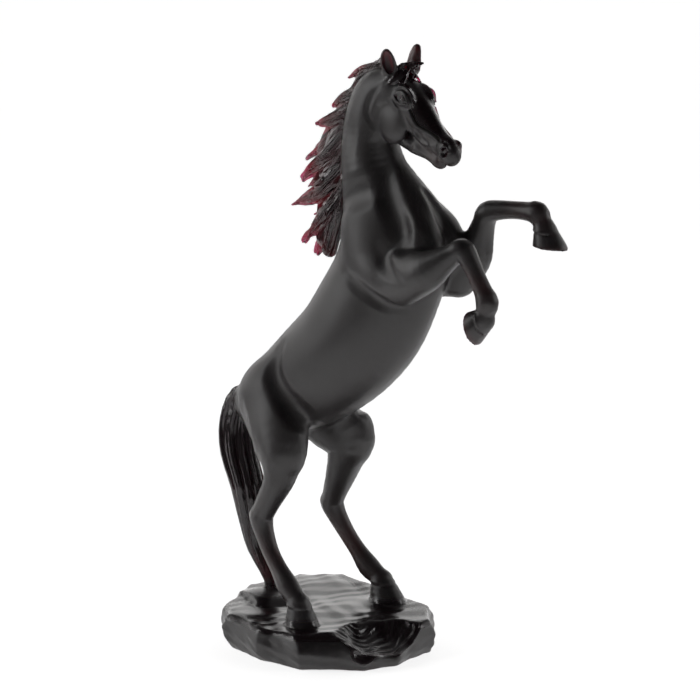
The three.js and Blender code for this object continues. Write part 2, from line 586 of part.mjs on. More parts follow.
// The zero surface of the grid as a closed mesh. Each cell is cut into six tetrahedra round
// its long diagonal, so neighbouring cells always agree on their shared faces.
function skin(clay) {
  const tetrahedra = [[0, 1, 3, 7], [0, 3, 2, 7], [0, 2, 6, 7], [0, 6, 4, 7], [0, 4, 5, 7], [0, 5, 1, 7]];
  const positions = [];
  const triangles = [];
  const made = new Map();
  const total = clay.field.length;
  const vertexOn = (p, q) => {
    const [a, b] = p.index < q.index ? [p, q] : [q, p];
    const key = a.index * total + b.index;
    let vertex = made.get(key);
    if (vertex === undefined) {
      const margin = 0.02; // keeps a crossing off the grid points, so no face has zero area
      const t = Math.min(Math.max(a.value / (a.value - b.value), margin), 1 - margin);
      vertex = positions.length / 3;
      for (let i = 0; i < 3; i++) positions.push(a.at[i] + t * (b.at[i] - a.at[i]));
      made.set(key, vertex);
    }
    return vertex;
  };
  const steps = cellCorners.map(([u, v, w]) => clay.index(u, v, w));
  for (let i = 0; i + 1 < clay.count[0]; i++) {
    for (let j = 0; j + 1 < clay.count[1]; j++) {
      for (let k = 0; k + 1 < clay.count[2]; k++) {
        const first = clay.index(i, j, k);
        let inner = 0;
        for (let n = 0; n < steps.length; n++) if (clay.field[first + steps[n]] < 0) inner++;
        if (inner === 0 || inner === steps.length) continue;
        const points = cellCorners.map(([u, v, w]) => {
          const index = clay.index(i + u, j + v, k + w);
          const at = [i + u, j + v, k + w].map((n, axis) => clay.low[axis] + n * clay.cell);
          return { index, at, value: clay.field[index] };
        });
        for (const tetrahedron of tetrahedra) {
          const four = tetrahedron.map((corner) => points[corner]);
          const inside = four.filter((point) => point.value < 0);
          const outside = four.filter((point) => point.value >= 0);
          if (!inside.length || !outside.length) continue;
          let ring;
          if (inside.length === 1) ring = outside.map((point) => vertexOn(inside[0], point));
          else if (outside.length === 1) ring = inside.map((point) => vertexOn(point, outside[0]));
          else {
            ring = [vertexOn(inside[0], outside[0]), vertexOn(inside[0], outside[1]),
              vertexOn(inside[1], outside[1]), vertexOn(inside[1], outside[0])];
          }
          const corner = ring.map((vertex) => new THREE.Vector3().fromArray(positions, 3 * vertex));
          const normal = new THREE.Vector3().crossVectors(
            corner[1].clone().sub(corner[0]), corner[2].clone().sub(corner[0]));
          const outward = new THREE.Vector3(...outside[0].at).sub(new THREE.Vector3(...inside[0].at));
          if (normal.dot(outward) < 0) ring.reverse();
          for (let n = 1; n + 1 < ring.length; n++) triangles.push([ring[0], ring[n], ring[n + 1]]);
        }
      }
    }
  }
  return { positions, triangles };
}

// Merges the ends of the edges that matter least to the form, until few triangles are left.
// Each vertex carries the squared distance to the planes that it stands for.
function simplify({ positions, triangles }, target) {
  const count = positions.length / 3;
  const around = Array.from({ length: count }, () => new Set());
  triangles.forEach((triangle, i) => triangle.forEach((vertex) => around[vertex].add(i)));
  const planes = new Float64Array(count * 10);
  const version = new Int32Array(count);
  const corner = (vertex, to) => {
    to[0] = positions[3 * vertex];
    to[1] = positions[3 * vertex + 1];
    to[2] = positions[3 * vertex + 2];
    return to;
  };
  const normalOf = (p, q, r) => {
    const ux = q[0] - p[0];
    const uy = q[1] - p[1];
    const uz = q[2] - p[2];
    const vx = r[0] - p[0];
    const vy = r[1] - p[1];
    const vz = r[2] - p[2];
    return [uy * vz - uz * vy, uz * vx - ux * vz, ux * vy - uy * vx];
  };
  for (const triangle of triangles) {
    const [p, q, r] = triangle.map((vertex) => corner(vertex, [0, 0, 0]));
    const normal = normalOf(p, q, r);
    const size = Math.hypot(...normal);
    if (size < 1e-9) continue;
    const [a, b, c] = normal.map((value) => value / size);
    const d = -(a * p[0] + b * p[1] + c * p[2]);
    const terms = [a * a, a * b, a * c, a * d, b * b, b * c, b * d, c * c, c * d, d * d];
    for (const vertex of triangle) {
      for (let n = 0; n < 10; n++) planes[10 * vertex + n] += (terms[n] * size) / 2;
    }
  }
  const errorAt = (q, [x, y, z]) => q[0] * x * x + 2 * q[1] * x * y + 2 * q[2] * x * z + 2 * q[3] * x
    + q[4] * y * y + 2 * q[5] * y * z + 2 * q[6] * y + q[7] * z * z + 2 * q[8] * z + q[9];
  const q = new Float64Array(10); // the planes of both ends of an edge
  // The best place for the merged vertex, and what the merge costs.
  const plan = (u, v) => {
    for (let n = 0; n < 10; n++) q[n] = planes[10 * u + n] + planes[10 * v + n];
    const p = corner(u, [0, 0, 0]);
    const r = corner(v, [0, 0, 0]);
    const middle = p.map((value, i) => (value + r[i]) / 2);
    const length = Math.hypot(p[0] - r[0], p[1] - r[1], p[2] - r[2]);
    const choices = [middle, p, r];
    const pull = 1e-3 * (q[0] + q[4] + q[7]) + 1e-9;
    const [a, b, c, e, f, g] = [q[0] + pull, q[1], q[2], q[4] + pull, q[5], q[7] + pull];
    const [x, y, z] = [pull * middle[0] - q[3], pull * middle[1] - q[6], pull * middle[2] - q[8]];
    const whole = a * (e * g - f * f) - b * (b * g - f * c) + c * (b * f - e * c);
    if (Math.abs(whole) > 1e-12) {
      const best = [
        (x * (e * g - f * f) - b * (y * g - f * z) + c * (y * f - e * z)) / whole,
        (a * (y * g - f * z) - x * (b * g - f * c) + c * (b * z - y * c)) / whole,
        (a * (e * z - y * f) - b * (b * z - y * c) + x * (b * f - e * c)) / whole,
      ];
      const away = Math.hypot(best[0] - middle[0], best[1] - middle[1], best[2] - middle[2]);
      if (away < length) choices.unshift(best);
    }
    let chosen = choices[0];
    let cost = errorAt(q, chosen);
    for (const choice of choices) {
      const error = errorAt(q, choice);
      if (error < cost) {
        chosen = choice;
        cost = error;
      }
    }
    return { cost: Math.max(cost, 0) + 1e-4 * length * length, at: chosen };
  };
  // A heap of planned merges, cheapest first.
  const heap = [];
  const push = (entry) => {
    let i = heap.push(entry) - 1;
    while (i > 0) {
      const parent = (i - 1) >> 1;
      if (heap[parent].cost <= entry.cost) break;
      heap[i] = heap[parent];
      i = parent;
    }
    heap[i] = entry;
  };
  const pop = () => {
    const top = heap[0];
    const last = heap.pop();
    if (!heap.length) return top;
    let i = 0;
    for (;;) {
      let child = 2 * i + 1;
      if (child >= heap.length) break;
      if (child + 1 < heap.length && heap[child + 1].cost < heap[child].cost) child++;
      if (heap[child].cost >= last.cost) break;
      heap[i] = heap[child];
      i = child;
    }
    heap[i] = last;
    return top;
  };
  const propose = (u, v) => {
    const { cost, at } = plan(u, v);
    push({ cost, at, u, v, stamp: version[u] + version[v] });
  };
  const neighbours = (vertex) => {
    const found = new Set();
    for (const i of around[vertex]) for (const other of triangles[i]) found.add(other);
    found.delete(vertex);
    return found;
  };
  for (const [a, b, c] of triangles) {
    if (a < b) propose(a, b);
    if (b < c) propose(b, c);
    if (c < a) propose(c, a);
  }
  let left = triangles.length;
  const steepest = 0.25; // a face may not turn further than this cosine in one merge
  const turnsOver = (vertex, other, at) => {
    for (const i of around[vertex]) {
      const triangle = triangles[i];
      if (triangle.includes(other)) continue;
      const before = triangle.map((one) => corner(one, [0, 0, 0]));
      const after = before.map((one, n) => (triangle[n] === vertex ? at : one));
      const old = normalOf(...before);
      const now = normalOf(...after);
      const dot = old[0] * now[0] + old[1] * now[1] + old[2] * now[2];
      if (dot <= steepest * Math.hypot(...old) * Math.hypot(...now)) return true;
    }
    return false;
  };
  while (left > target && heap.length) {
    const { u, v, at, stamp } = pop();
    if (!around[u] || !around[v] || version[u] + version[v] !== stamp) continue;
    const beside = neighbours(u);
    if (!beside.has(v)) continue;
    let shared = 0;
    for (const vertex of neighbours(v)) shared += beside.has(vertex);
    if (shared !== 2 || turnsOver(u, v, at) || turnsOver(v, u, at)) continue;
    for (const i of [...around[v]]) {
      const triangle = triangles[i];
      if (triangle.includes(u)) {
        for (const vertex of triangle) around[vertex].delete(i);
        triangles[i] = null;
        left--;
      } else {
        triangle[triangle.indexOf(v)] = u;
        around[u].add(i);
      }
    }
    around[v] = null;
    for (let n = 0; n < 10; n++) planes[10 * u + n] += planes[10 * v + n];
    for (let n = 0; n < 3; n++) positions[3 * u + n] = at[n];
    for (const vertex of neighbours(u)) version[vertex] += 1;
    version[u] += 1;
    for (const vertex of neighbours(u)) {
      for (const other of neighbours(vertex)) {
        if (other === u || !around[other]) continue;
        if (vertex < other) propose(vertex, other);
      }
      propose(u, vertex);
    }
  }
  return { positions, triangles: triangles.filter((triangle) => triangle) };
}

const wasm = await Module();
wasm.setup();

function solid(positions, triangles) {
  return new wasm.Manifold(new wasm.Mesh({
    numProp: 3,
    vertProperties: new Float32Array(positions),
    triVerts: new Uint32Array(triangles.flat()),
  }));
}

// The underside is cut off flat at z = 0.
function cutUnderside(casting) {
  const reach = 2 * Math.max(rockLength, rockWidth);
  const floor = new THREE.BoxGeometry(reach, reach, reach);
  floor.translate(rockMiddle[0], rockMiddle[1], -reach / 2);
  const corners = floor.attributes.position;
  const positions = [];
  const numberOf = new Map();
  const vertexNumber = [];
  for (let i = 0; i < corners.count; i++) {
    const at = [corners.getX(i), corners.getY(i), corners.getZ(i)];
    const key = at.join();
    if (!numberOf.has(key)) {
      numberOf.set(key, positions.length / 3);
      positions.push(...at);
    }
    vertexNumber.push(numberOf.get(key));
  }
  const faces = Array.from(floor.index.array, (i) => vertexNumber[i]);
  const { positions: points, triangles } = casting;
  return solid(points, triangles).subtract(solid(positions, faces));
}

function casting() {
  const margin = 3 * clayCell;
  const forelegReach = 165; // furthest forward, backward and to the sides, in parts
  const tailReach = 86;
  const widthReach = 45;
  const low = [
    Math.min(-tailReach * part, rockMiddle[0] - rockLength / 2) - margin,
    Math.min(-widthReach * part, rockMiddle[1] - rockWidth / 2) - margin,
    -undersideSpare - margin,
  ];
  const high = [
    Math.max(forelegReach * part, rockMiddle[0] + rockLength / 2) + margin,
    Math.max(widthReach * part, rockMiddle[1] + rockWidth / 2) + margin,
    rockHeight + figureHeight + margin,
  ];
  const clay = new Clay(low, high, clayCell);
  for (const form of [body, head, legs, hair, rock]) form(clay);
  const cast = cutUnderside(simplify(skin(clay), faceCount)).getMesh();
  const geometry = new THREE.BufferGeometry();
  geometry.setAttribute("position", new THREE.BufferAttribute(new Float32Array(cast.vertProperties), 3));
  geometry.setIndex(Array.from(cast.triVerts));
  geometry.computeVertexNormals();
  return geometry;
}

const crystal = new THREE.MeshStandardMaterial({ color: 0x3a3033, roughness: 0.35, metalness: 0 });
const horse = new THREE.Mesh(casting(), crystal);
horse.name = "rearing_horse";

const group = new THREE.Group();
group.add(horse);

export default group;
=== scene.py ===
"""A rearing horse on a piece of rock, cast in one piece of dark ruby crystal.

The casting is modelled as clay: a grid holds the distance to the surface, and each form is
joined to it or cut out of it. Places and sizes are in millimetres in the CAD's frame, with the
horse facing +X and its left side to +Y. The mesh is made in metres.
"""

import bpy
import numpy as np
from mathutils import Matrix, Vector


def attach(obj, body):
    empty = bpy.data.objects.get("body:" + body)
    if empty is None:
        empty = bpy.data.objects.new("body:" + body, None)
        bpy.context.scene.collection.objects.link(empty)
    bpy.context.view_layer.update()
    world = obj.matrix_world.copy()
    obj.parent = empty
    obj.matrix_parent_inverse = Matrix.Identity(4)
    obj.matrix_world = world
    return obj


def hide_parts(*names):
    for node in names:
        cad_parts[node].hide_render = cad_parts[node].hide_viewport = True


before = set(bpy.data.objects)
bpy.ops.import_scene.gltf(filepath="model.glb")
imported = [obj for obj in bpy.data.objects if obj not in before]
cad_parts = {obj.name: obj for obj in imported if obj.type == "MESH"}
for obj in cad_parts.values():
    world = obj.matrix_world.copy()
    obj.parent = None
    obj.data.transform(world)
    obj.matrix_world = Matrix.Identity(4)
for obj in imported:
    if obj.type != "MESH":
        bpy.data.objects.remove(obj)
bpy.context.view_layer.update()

NAME = "rearing_horse_crystal"

# Driving dimensions
FIGURE_HEIGHT = 331.0  # from the rock's top to the tip of the ears
ROCK_LENGTH = 137.0
ROCK_WIDTH = 124.0
ROCK_HEIGHT = 20.0
ROCK_WAIST = 11.0  # height of the rock's widest outline
ROCK_RIM = 5.0  # how softly the sides turn over there
ROCK_EDGE = 1.2  # the same for the edges between facets
ROCK_MIDDLE = (1.0, 4.0)
FIGURE_PARTS = 331.0  # the tables count in parts of the figure's height
PART = FIGURE_HEIGHT / FIGURE_PARTS
MILLIMETRE = 0.001

# Crystal
CRYSTAL_INDEX = 1.54
CLEAR_SHARE = 0.985
DEPTH_COLOUR = (0.708, 0, 0.333, 1)
DEPTH_DENSITY = 1900
SATIN_TINT = (0.95, 0.8, 0.84, 1)
POLISHED_TINT = (0.6, 0.3, 0.4, 1)
SATIN = (0.3, 0.54)  # the least and the greatest roughness of the satin parts
POLISHED = 0.07
CLOUDS = {"Scale": 60, "Detail": 4}  # how the satin varies
GRAIN = {"Scale": 900, "Detail": 3}
GRAIN_DEPTH = {"Strength": 0.05, "Distance": 0.0004}

# Floor, in metres: white inside a strip that leads away from the camera and widens. There it also glows by
# its own emission. This is painted light: it keeps the floor white, washes out the shadow under the rock,
# and lights the sculpture from below.
FLOOR_HALF_SIZE = 6.0
FLOOR_SINK = 0.0002
FLOOR_HALF_WIDTH = 0.5
FLOOR_SPREAD = 0.17  # how much it widens on each side for each metre
FLOOR_FADE = 0.3
FLOOR_DARK = 0.05  # the share of the white that is left outside
FLOOR_WHITE = 0.86
# painted light: how strongly the floor glows by its own emission in the white strip
FLOOR_PAINTED_GLOW = 0.78

# Room: how bright it is beyond the sculpture, and on the camera's side and overhead
ROOM_BRIGHT = 1.3
ROOM_DARK = 0.12
ROOM_SIDES = (-0.45, 0.25)  # it darkens between these shares of the way round to the camera
ROOM_TOP = (0.3, 0.75)  # and between these heights
SOFTBOXES = {  # place, width and height, in metres, and power
    "left_softbox": ((-1.0, -0.9, 0.65), (0.35, 1.3), 5),
    "right_softbox": ((1.35, 0.9, 0.7), (0.5, 1.1), 4),
}
LIT_PLACE = (0.01, 0.0, 0.17)

# Fineness
CELL = 0.8  # side of a cell of the clay
FINE_CELL = 0.4  # the same for head, mane and tail
TRIANGLES = 196000
FAR = 30.0  # a distance that counts as well outside
FLATTEST = 0.2  # the least slope, squared, that a step towards the surface counts with

CLAY_LOW = (-86.0, -66.0, -4.0)
CLAY_HIGH = (166.0, 80.0, ROCK_HEIGHT + FIGURE_HEIGHT + 4)
HEAD_REACH = ((-32, 54), (-22, 22), (-32, 32))  # the finer clay, as places on the head
HAIR_REACH = [((-28, -10, 202), (52, 10, 326)), ((-82, -16, -7), (-26, 18, 128))]  # mane and tail

# Trunk and neck
# Rows of (place, half depth, half width) from the dock to the breast, and on to the poll.
TRUNK = [
    ((-48, 0, 117), 15, 14), ((-35, 0, 121), 22, 20), ((-18, 0, 130), 27, 23.5),
    ((0, 0, 142), 31, 25), ((20, 0, 158), 33.5, 26.5), ((36, 0, 177), 35.5, 26),
    ((49, 0, 199), 34.5, 23), ((60, 0, 222), 31, 20),
]
NECK = [
    ((53, 0, 214), 33, 18), ((49.5, 0, 234), 29, 19), ((41.5, 0, 254), 21.5, 17.5),
    ((37, -0.5, 272), 17.5, 14.5), ((38.5, -1.5, 288), 16.5, 12), ((44, -3, 301), 15, 10),
    ((53, -4, 306), 12, 9),
]
# Forms on each side of the body: place on the left, half sizes, direction and softness.
MUSCLES = [
    ((-28, 12, 126), (22, 12, 18), (0.8, 0, 0.55), 7),  # rump
    ((50, 14.5, 214), (30, 9.5, 17), (0.5, 0, -0.87), 7),  # shoulder blade
    ((61, 17.5, 204), (21, 9.5, 12.5), (0.87, 0, -0.5), 3),  # upper arm
    ((79.5, 9.5, 225), (19, 10.5, 13), (0.5, 0, -0.86), 4),  # breast
]
# Hollows on each side: places on the left, radius, softness, and how far out the middle is.
CREASES = [
    ([(24, 14, 243), (36, 20, 248), (49, 21.5, 252), (60, 19, 253)], 8, 6, 6.4),  # over the shoulder
    ([(49, 11, 276), (54, 12.5, 264), (60, 15.5, 252), (67, 19, 241), (74, 22.5, 231), (80, 25, 221)],
     6.5, 5, 3),  # down the neck
    ([(34, 13, 293), (32.5, 15, 280), (34, 16, 268)], 4, 4, 3.7),  # along the neck
    ([(36, 26, 205), (45, 26, 199), (56, 25.5, 194), (66, 23, 189), (75, 17, 186)],
     3.4, 4, 2.3),  # behind the upper arm
    ([(60, 24, 222), (68, 25, 214), (76, 25, 208), (84, 24, 206)], 4, 4, 2.6),  # above the forearm
    ([(-15, 21, 158), (-17, 25, 143), (-10, 26.5, 132), (-3, 26, 124), (3, 24, 117), (6, 19, 111)],
     5.5, 5, 2.2),  # flank
    ([(-38, 20, 118), (-32, 24, 105), (-27, 25, 92)], 5, 6, 4),  # back of the thigh
]
MIDDLE_CREASES = [
    ([(74, 0, 250), (88, 0, 243), (97, 0, 231), (96, 0, 218)], 3.4, 4, 1.2),  # between the breasts
]

# Legs
# The middle line of each limb, joint by joint: right side first, then left.
HIND_LEGS = [
    [(-26, -14, 123), (-10, -23, 97), (-10.5, -26, 79), (-22.8, -27, 55),
     (-14.5, -28.5, 36.5), (0.7, -31, 19.5), (10, -32, 10.5), (12.5, -32.5, -2)],
    [(-18, 14, 120), (3, 21, 99), (-6.5, 24.5, 74), (-15, 27, 54.5),
     (-5, 29, 37.4), (9, 31.5, 19.8), (18.3, 32.5, 12.5), (22, 32.5, 1)],
]
FORE_LEGS = [
    [(77, -20, 206), (95, -22.5, 212), (115.2, -18, 224.6), (125, -18, 211.7),
     (132.4, -18, 198), (129.6, -18, 188), (122.6, -18, 183)],
    [(82, 20, 205), (94.5, 19.5, 216), (107.3, 15, 240.6), (125.2, 15, 243.8),
     (140.9, 15, 243.4), (146.2, 15, 234.5), (148.8, 15, 225.6)],
]
# Rows of (place along the joints, half depth, half width).
HIND_SECTIONS = [
    (0, 23, 13.5), (0.5, 21.5, 14), (1, 16, 12.5), (1.5, 11.2, 10.8), (2, 8.8, 9),
    (2.5, 7.2, 7), (2.85, 6.5, 6.3), (3, 6.9, 6.6), (3.4, 5.9, 5.4), (4, 5, 4.7),
    (4.5, 5.1, 4.8), (5, 6.5, 6.1), (5.6, 5.8, 5.6), (6, 6.4, 6.3),
]
FORE_SECTIONS = [
    (0, 15, 9.5), (0.5, 13.2, 9.8), (1, 11, 9.2), (1.4, 7.9, 8.2), (1.75, 6.2, 6.8),
    (2, 6.4, 6.9), (2.4, 5.5, 5.8), (3, 4.9, 4.7), (3.6, 5.3, 5), (4, 6.5, 5.9),
    (4.5, 5.4, 5.3), (5, 6.4, 6.2),
]
HOCK_POINT = (-5.6, 0, 1.5)
TENDON_ROOT = (-6.5, 0, 0)
TENDON = ((2.9, 2.7), (2.2, 2.1), (2.6, 2.4))  # its half sizes at the hock, halfway and at its root
# A hoof: half depth and width at the coronet and at the sole, and the way to the toe.
HIND_HOOF = ((6.6, 6.4), (10.6, 9), (1, 0, 0))
RIGHT_FORE_HOOF = ((6.6, 6.4), (8.9, 8), (6, 0, -16))
LEFT_FORE_HOOF = ((6.2, 6.2), (9.4, 8.2), (19, 0, -1.5))
CORONET_LINE = (0.16, 0.45)  # how far down the hoof its groove runs, as a share, and its size
CORONET_LEDGE = (1.13, 1.3)  # a ledge over it: its width as a share, and its half height

# Head
# Its middle is between the eyes. Places on it are (forward, out or left, up).
HEAD_MIDDLE = (70, -4, 302.6)
HEAD_TURN = -13
HEAD_NOD = -31
HEAD_LEAN = 3
SKULL = [
    (-21, -5, 8, 8.5), (-12, -4.5, 11, 10), (-2, -5, 12, 10.8), (10, -6, 10.3, 8.8),
    (22, -7.4, 8.5, 6.6), (31, -7.6, 7.4, 5.6), (37.5, -7.2, 7.4, 5.8), (42, -7.4, 6.4, 5.2),
]
JAW = [(4, -23, 5.5, 6.8), (15, -21, 5, 6.2), (26, -18.6, 3.4, 4.2), (34, -17.2, 3.2, 4)]
CHIN = ((36, 0, -16.8), (4.4, 4, 3.6))
CHEEK = ((-3.2, 7.2, -16.6), (13.6, 4.8, 12.6), 1.2)
ORBIT = ((1.2, 7, 1.2), (7.4, 2.9, 4.9), 3.5)
EYEBALL = ((1.6, 8, 1.1), (3.6, 2.6, 2.9), 0.2)
PUPIL = (1.3, 0.7)  # half width and half depth of the hollow in the eye
PUPIL_OUT = 11.2  # how far out its place is before it is laid on the eye
EYE_RISE = {-1: 1.5, 1: 1.2}  # how far each eye stands over these places, right and left
THROAT = ((-7, 0, -13), (13, 9, 12))
# Lines on the head. They are carved where its surface is nearest to them.
UPPER_LID = [(-4.6, 10, -1.2), (-2.6, 11, 2.4), (0.6, 11, 4.6), (4.2, 11, 4), (7.6, 10, 0.6)]
LOWER_LID = [(-4.6, 10, -1.2), (-1.6, 11, -2.4), (2.2, 11, -2.4), (7.6, 10, 0.6)]
EYE_TOP = [(-4.2, 10, 0), (-1.6, 11, 3.4), (1.4, 11, 4.4), (4.6, 11, 3), (6.6, 10, 1)]
EYE_FOOT = [(-4.2, 10, 0), (-1, 11, -2), (2.8, 11, -2), (6.6, 10, 1)]
LID_FOLD = [(-6, 10, 1), (-3.6, 10, 5), (0.8, 10, 7.4), (5.4, 10, 6.4), (8.8, 9.6, 3)]
TEAR_LINE = [(-4.4, 10, -4.4), (0.4, 10, -5), (5.6, 10, -3.2), (9.4, 9.6, -0.6)]
NOSTRIL_RIM = ((40, 4.2, -5), (4.4, 2.8, 4.6), 1.4)
NOSTRIL = ((42.2, 7, -5), (2.3, 3.8, 3.2), 0.8)
NOSTRIL_FOLD = [(35, 6, -1), (35.2, 6, -5), (37, 6, -9), (40.6, 6, -10.6)]
MOUTH = [(28, 5.6, -14), (32, 5.4, -13.8), (36, 5.2, -13), (40.6, 4.6, -12), (44.4, 2.6, -11.2)]
LIP_FOLD = [(28.6, 5, -9.6), (31.4, 5, -12), (34.6, 5, -11.6)]
FACE_RIDGE = [(7.6, 9.4, 0), (13, 8.8, -3), (18, 8.2, -5), (25, 6.7, -4), (31, 5.8, -3.2), (36, 6, -3.2)]
JAW_HOLLOW = [(3, 9, -4), (9.6, 8.6, -8.4), (15, 7.6, -14), (15.6, 6.6, -21), (12, 5.6, -27)]
THROAT_LINE = [(-16, 9, -3), (-18.4, 9, -11), (-17.4, 9, -20), (-12.4, 8, -27)]
FACE_HOLLOW = [(14, 8, -8), (20, 7, -9.6), (27, 6, -9.6)]
VEIN = [(12, 8, -10.6), (20, 7, -13), (27, 6, -11.6), (32, 5.6, -8.4)]
EAR = [((-15.5, 6, 4), 3.8, 3.4), ((-18.2, 7.6, 8.6), 5, 3.9), ((-20.8, 8.3, 11.8), 4.8, 3.5),
       ((-22.9, 8.4, 14), 3.2, 2.4), ((-24, 8.2, 15.4), 1.2, 1)]
EAR_HOLLOW = [((-15.6, 9.2, 9.2), 2.6, 2), ((-17.6, 10.2, 12), 3.5, 2.6), ((-19.6, 10.5, 14.4), 3.2, 2.3),
              ((-21.4, 10.2, 16.4), 1.7, 1.2)]
LEFT_EAR_LEAN = (4, 0.6, 4.2)  # how far its tip stands from the right one's mirrored tip
# Tufts between the ears, as rows of (place, half thickness, half width).
FORELOCKS = [
    [((-16, 1, 9.5), 2.2, 3.6), ((-13, -3.5, 9), 2.2, 4.6), ((-13, -7.6, 5.6), 2, 4.4),
     ((-16, -9.8, 0.5), 1.5, 2.8), ((-19.4, -10.8, -4.8), 0.6, 0.8)],
    [((-16, 1, 9.5), 2.2, 3.4), ((-12, 4, 8.8), 1.7, 2.4), ((-9, 5.4, 7.4), 1, 1.3),
     ((-6, 6.6, 6.2), 0.4, 0.5)],
    [((-15, 2, 10), 2, 3), ((-12, 4.5, 13.4), 1.6, 2.2), ((-8.6, 6.4, 16.6), 0.6, 0.7)],
    [((-15, 0, 9), 2, 3), ((-9.6, -3.6, 7.6), 1.6, 2.8), ((-5.4, -7.4, 5.2), 0.6, 0.9)],
]
# The polished part of the face: from and to along the head, and its half width by place.
BLAZE_POLISH = 0.92
BLAZE_ENDS = (-12, 43)
BLAZE_NEAR = ([7, 13], [7.6, 12])
BLAZE_FAR = ([4, 10], [4.5, 12])

# Mane and tail
# Combs are (strands, depth, seed, flat).
CREST_COMB = (9, 1, 3, False)
TAIL_COMB = (10, 2.4, 40, False)
LOCK_COMB = (4, 1.9, 10, True)
FORELOCK_COMB = (4, 0.9, 60, False)
CREST = [(48, 321), (38, 312), (29, 303), (24, 292), (21, 280), (18, 266), (17, 252),
         (15, 238), (10, 224), (6, 212)]
# Each lock, from its root to its tip, as rows of ((x, z), half depth).
LOCKS = [
    [((43, 318), 4), ((35.5, 316.5), 4), ((27, 313.5), 3.2), ((19, 310.3), 1.2)],
    [((38, 314.5), 3.5), ((32, 311), 4), ((28, 306), 3.6), ((26, 302), 2)],
    [((28, 302.5), 4.5), ((19.5, 299.5), 5), ((13.5, 297), 4.6), ((8.8, 294.2), 3.2)],
    [((25, 295), 5), ((16, 289), 5.4), ((6.5, 285), 4.6), ((-2.4, 282.8), 1.8)],
    [((22.5, 288), 5), ((12.6, 279.4), 5.4), ((2.3, 271), 4.8), ((-11.5, 262.8), 2.6)],
    [((20.5, 280), 5), ((10, 269), 5.6), ((-1.4, 260), 4.8), ((-12.6, 251.4), 3)],
    [((19.5, 271), 5), ((9.7, 260.3), 5.6), ((-1.4, 252), 4.8), ((-10, 246.6), 2)],
    [((18.5, 262), 5.4), ((9.3, 252), 6.4), ((-2.7, 242.6), 5.8), ((-20.6, 235.2), 1)],
    [((17.5, 251), 5), ((10.5, 242), 5.4), ((3, 235.2), 4), ((-5.9, 230.8), 1.2)],
    [((16, 245), 4.6), ((8.4, 235.5), 5.2), ((-0.7, 226.6), 5), ((-11.6, 215.6), 3)],
    [((13.5, 236), 4.6), ((7.2, 227), 5), ((0.5, 217.8), 4.8), ((-4.3, 209.6), 3.2)],
]
LOCK_WIDTHS = [4.6, 4.4, 3, 1.3]
LOCK_SPREAD = 1.4  # neighbouring locks stand this far to either side of the middle
# The sheet of hair that the locks come out of: (x, z) and its half depth.
MANE_SHEET = [((40, 314), 4), ((32, 308), 6), ((24, 297), 7), ((16, 284), 9), ((8, 268), 10.5),
              ((6, 252), 11.5), ((6, 238), 9), ((4, 228), 8), ((3, 219), 7)]
SHEET_WIDTH = 2.4
TAIL = [(-50, 0, 121), (-62, 0, 116), (-67, 0, 101), (-65.5, 0, 84), (-58, 0, 65),
        (-54, 1, 45), (-51, 2, 28), (-42, 3, 10), (-37, 4, -4)]
TAIL_SECTIONS = [(0, 5, 5), (1, 8.5, 8), (2, 10.5, 10), (3, 11.5, 11), (4, 10.5, 11),
                 (5, 8.8, 10), (6, 7, 8), (7, 5, 6), (8, 7, 7.5)]

# Rock
# Corners of the widest outline as shares of its half sizes, with how far the side draws in
# from there to the rim and to the foot.
ROCK_CORNERS = [
    ((-0.78, -0.6), 5, 7), ((-0.54, -0.87), 4, 4), ((-0.04, -1), 6, 3), ((0.43, -0.98), 11, 3),
    ((0.87, -0.61), 7, 2), ((1, -0.26), 4, 3), ((0.97, 0.32), 5, 4), ((0.72, 0.66), 4, 5),
    ((-0.1, 0.9), 4, 4), ((-0.57, 1), 5, 5), ((-0.9, 0.71), 4, 5), ((-1, 0.03), 4, 6),
]
ROCK_SWELL = 0.7
ROCK_WAVE = (11, 13)
ROCK_TILT = (-0.013, 0.015)
TOP_WAVES = (0.22, 0.11)  # heights of the long and the short waves on the top
SIDE_WAVES = (0.5, 0.25)  # the same on the sides and in the chips
RIPPLE = (0.33, 1.4)  # height of the ripples in a chip, and how close they run
SCALLOP = 1.6  # how far the middle of each side facet is hollowed
TOP_POLISH = 0.68
CHIP_POLISH = 0.8
# Chips knocked out of the rock: middle and half sizes.
CHIPS = [
    ((62, -15.5, 47), (40, 40, 40)), ((66, -38, 12), (13, 13, 10)), ((10, -66, 21), (22, 12, 9)),
    ((-48, -52, 26), (16, 14, 12)),
]
TAIL_MOUND = ((-37, -7, -1), (20, 17, 6), 3)
LEFT_RISE = ((20, 32, -3.4), (17, 14, 5), 3)  # ground under the left hoof
MOUND_FACE = ((-40, -17.5, 2), (-0.43, -0.9, 0.25))  # where the mound breaks off

# Camera, from the photograph
CAMERA_PLACE = (1.0619, -1.2403, 0.4902)
CAMERA_TARGET = (0.00969, 0.01363, 0.1720)
CAMERA_LENS = 149.14  # for a sensor 36 wide


def unit(vector):
    vector = np.asarray(vector, float)
    return vector / np.linalg.norm(vector)


def placed(point):
    """A place of the figure in the CAD's frame."""
    return np.asarray(point, float) * PART + np.array([0, 0, ROCK_HEIGHT])


def curved(a, b, c, d, t):
    """A smooth curve from b to c, with a before them and d after them."""
    return 0.5 * (2 * b + (c - a) * t + (2 * a - 5 * b + 4 * c - d) * t * t
                  + (3 * b - a - 3 * c + d) * t ** 3)


def smooth_rows(rows, steps):
    """Rows of numbers drawn into a smooth curve, with steps rows to each stretch."""
    rows = np.array(rows, float)
    ends = np.vstack([2 * rows[0] - rows[1], rows, 2 * rows[-1] - rows[-2]])
    result = []
    for i in range(len(rows) - 1):
        result += [curved(*ends[i:i + 4], step / steps) for step in range(steps)]
    result.append(rows[-1])
    return np.array(result)


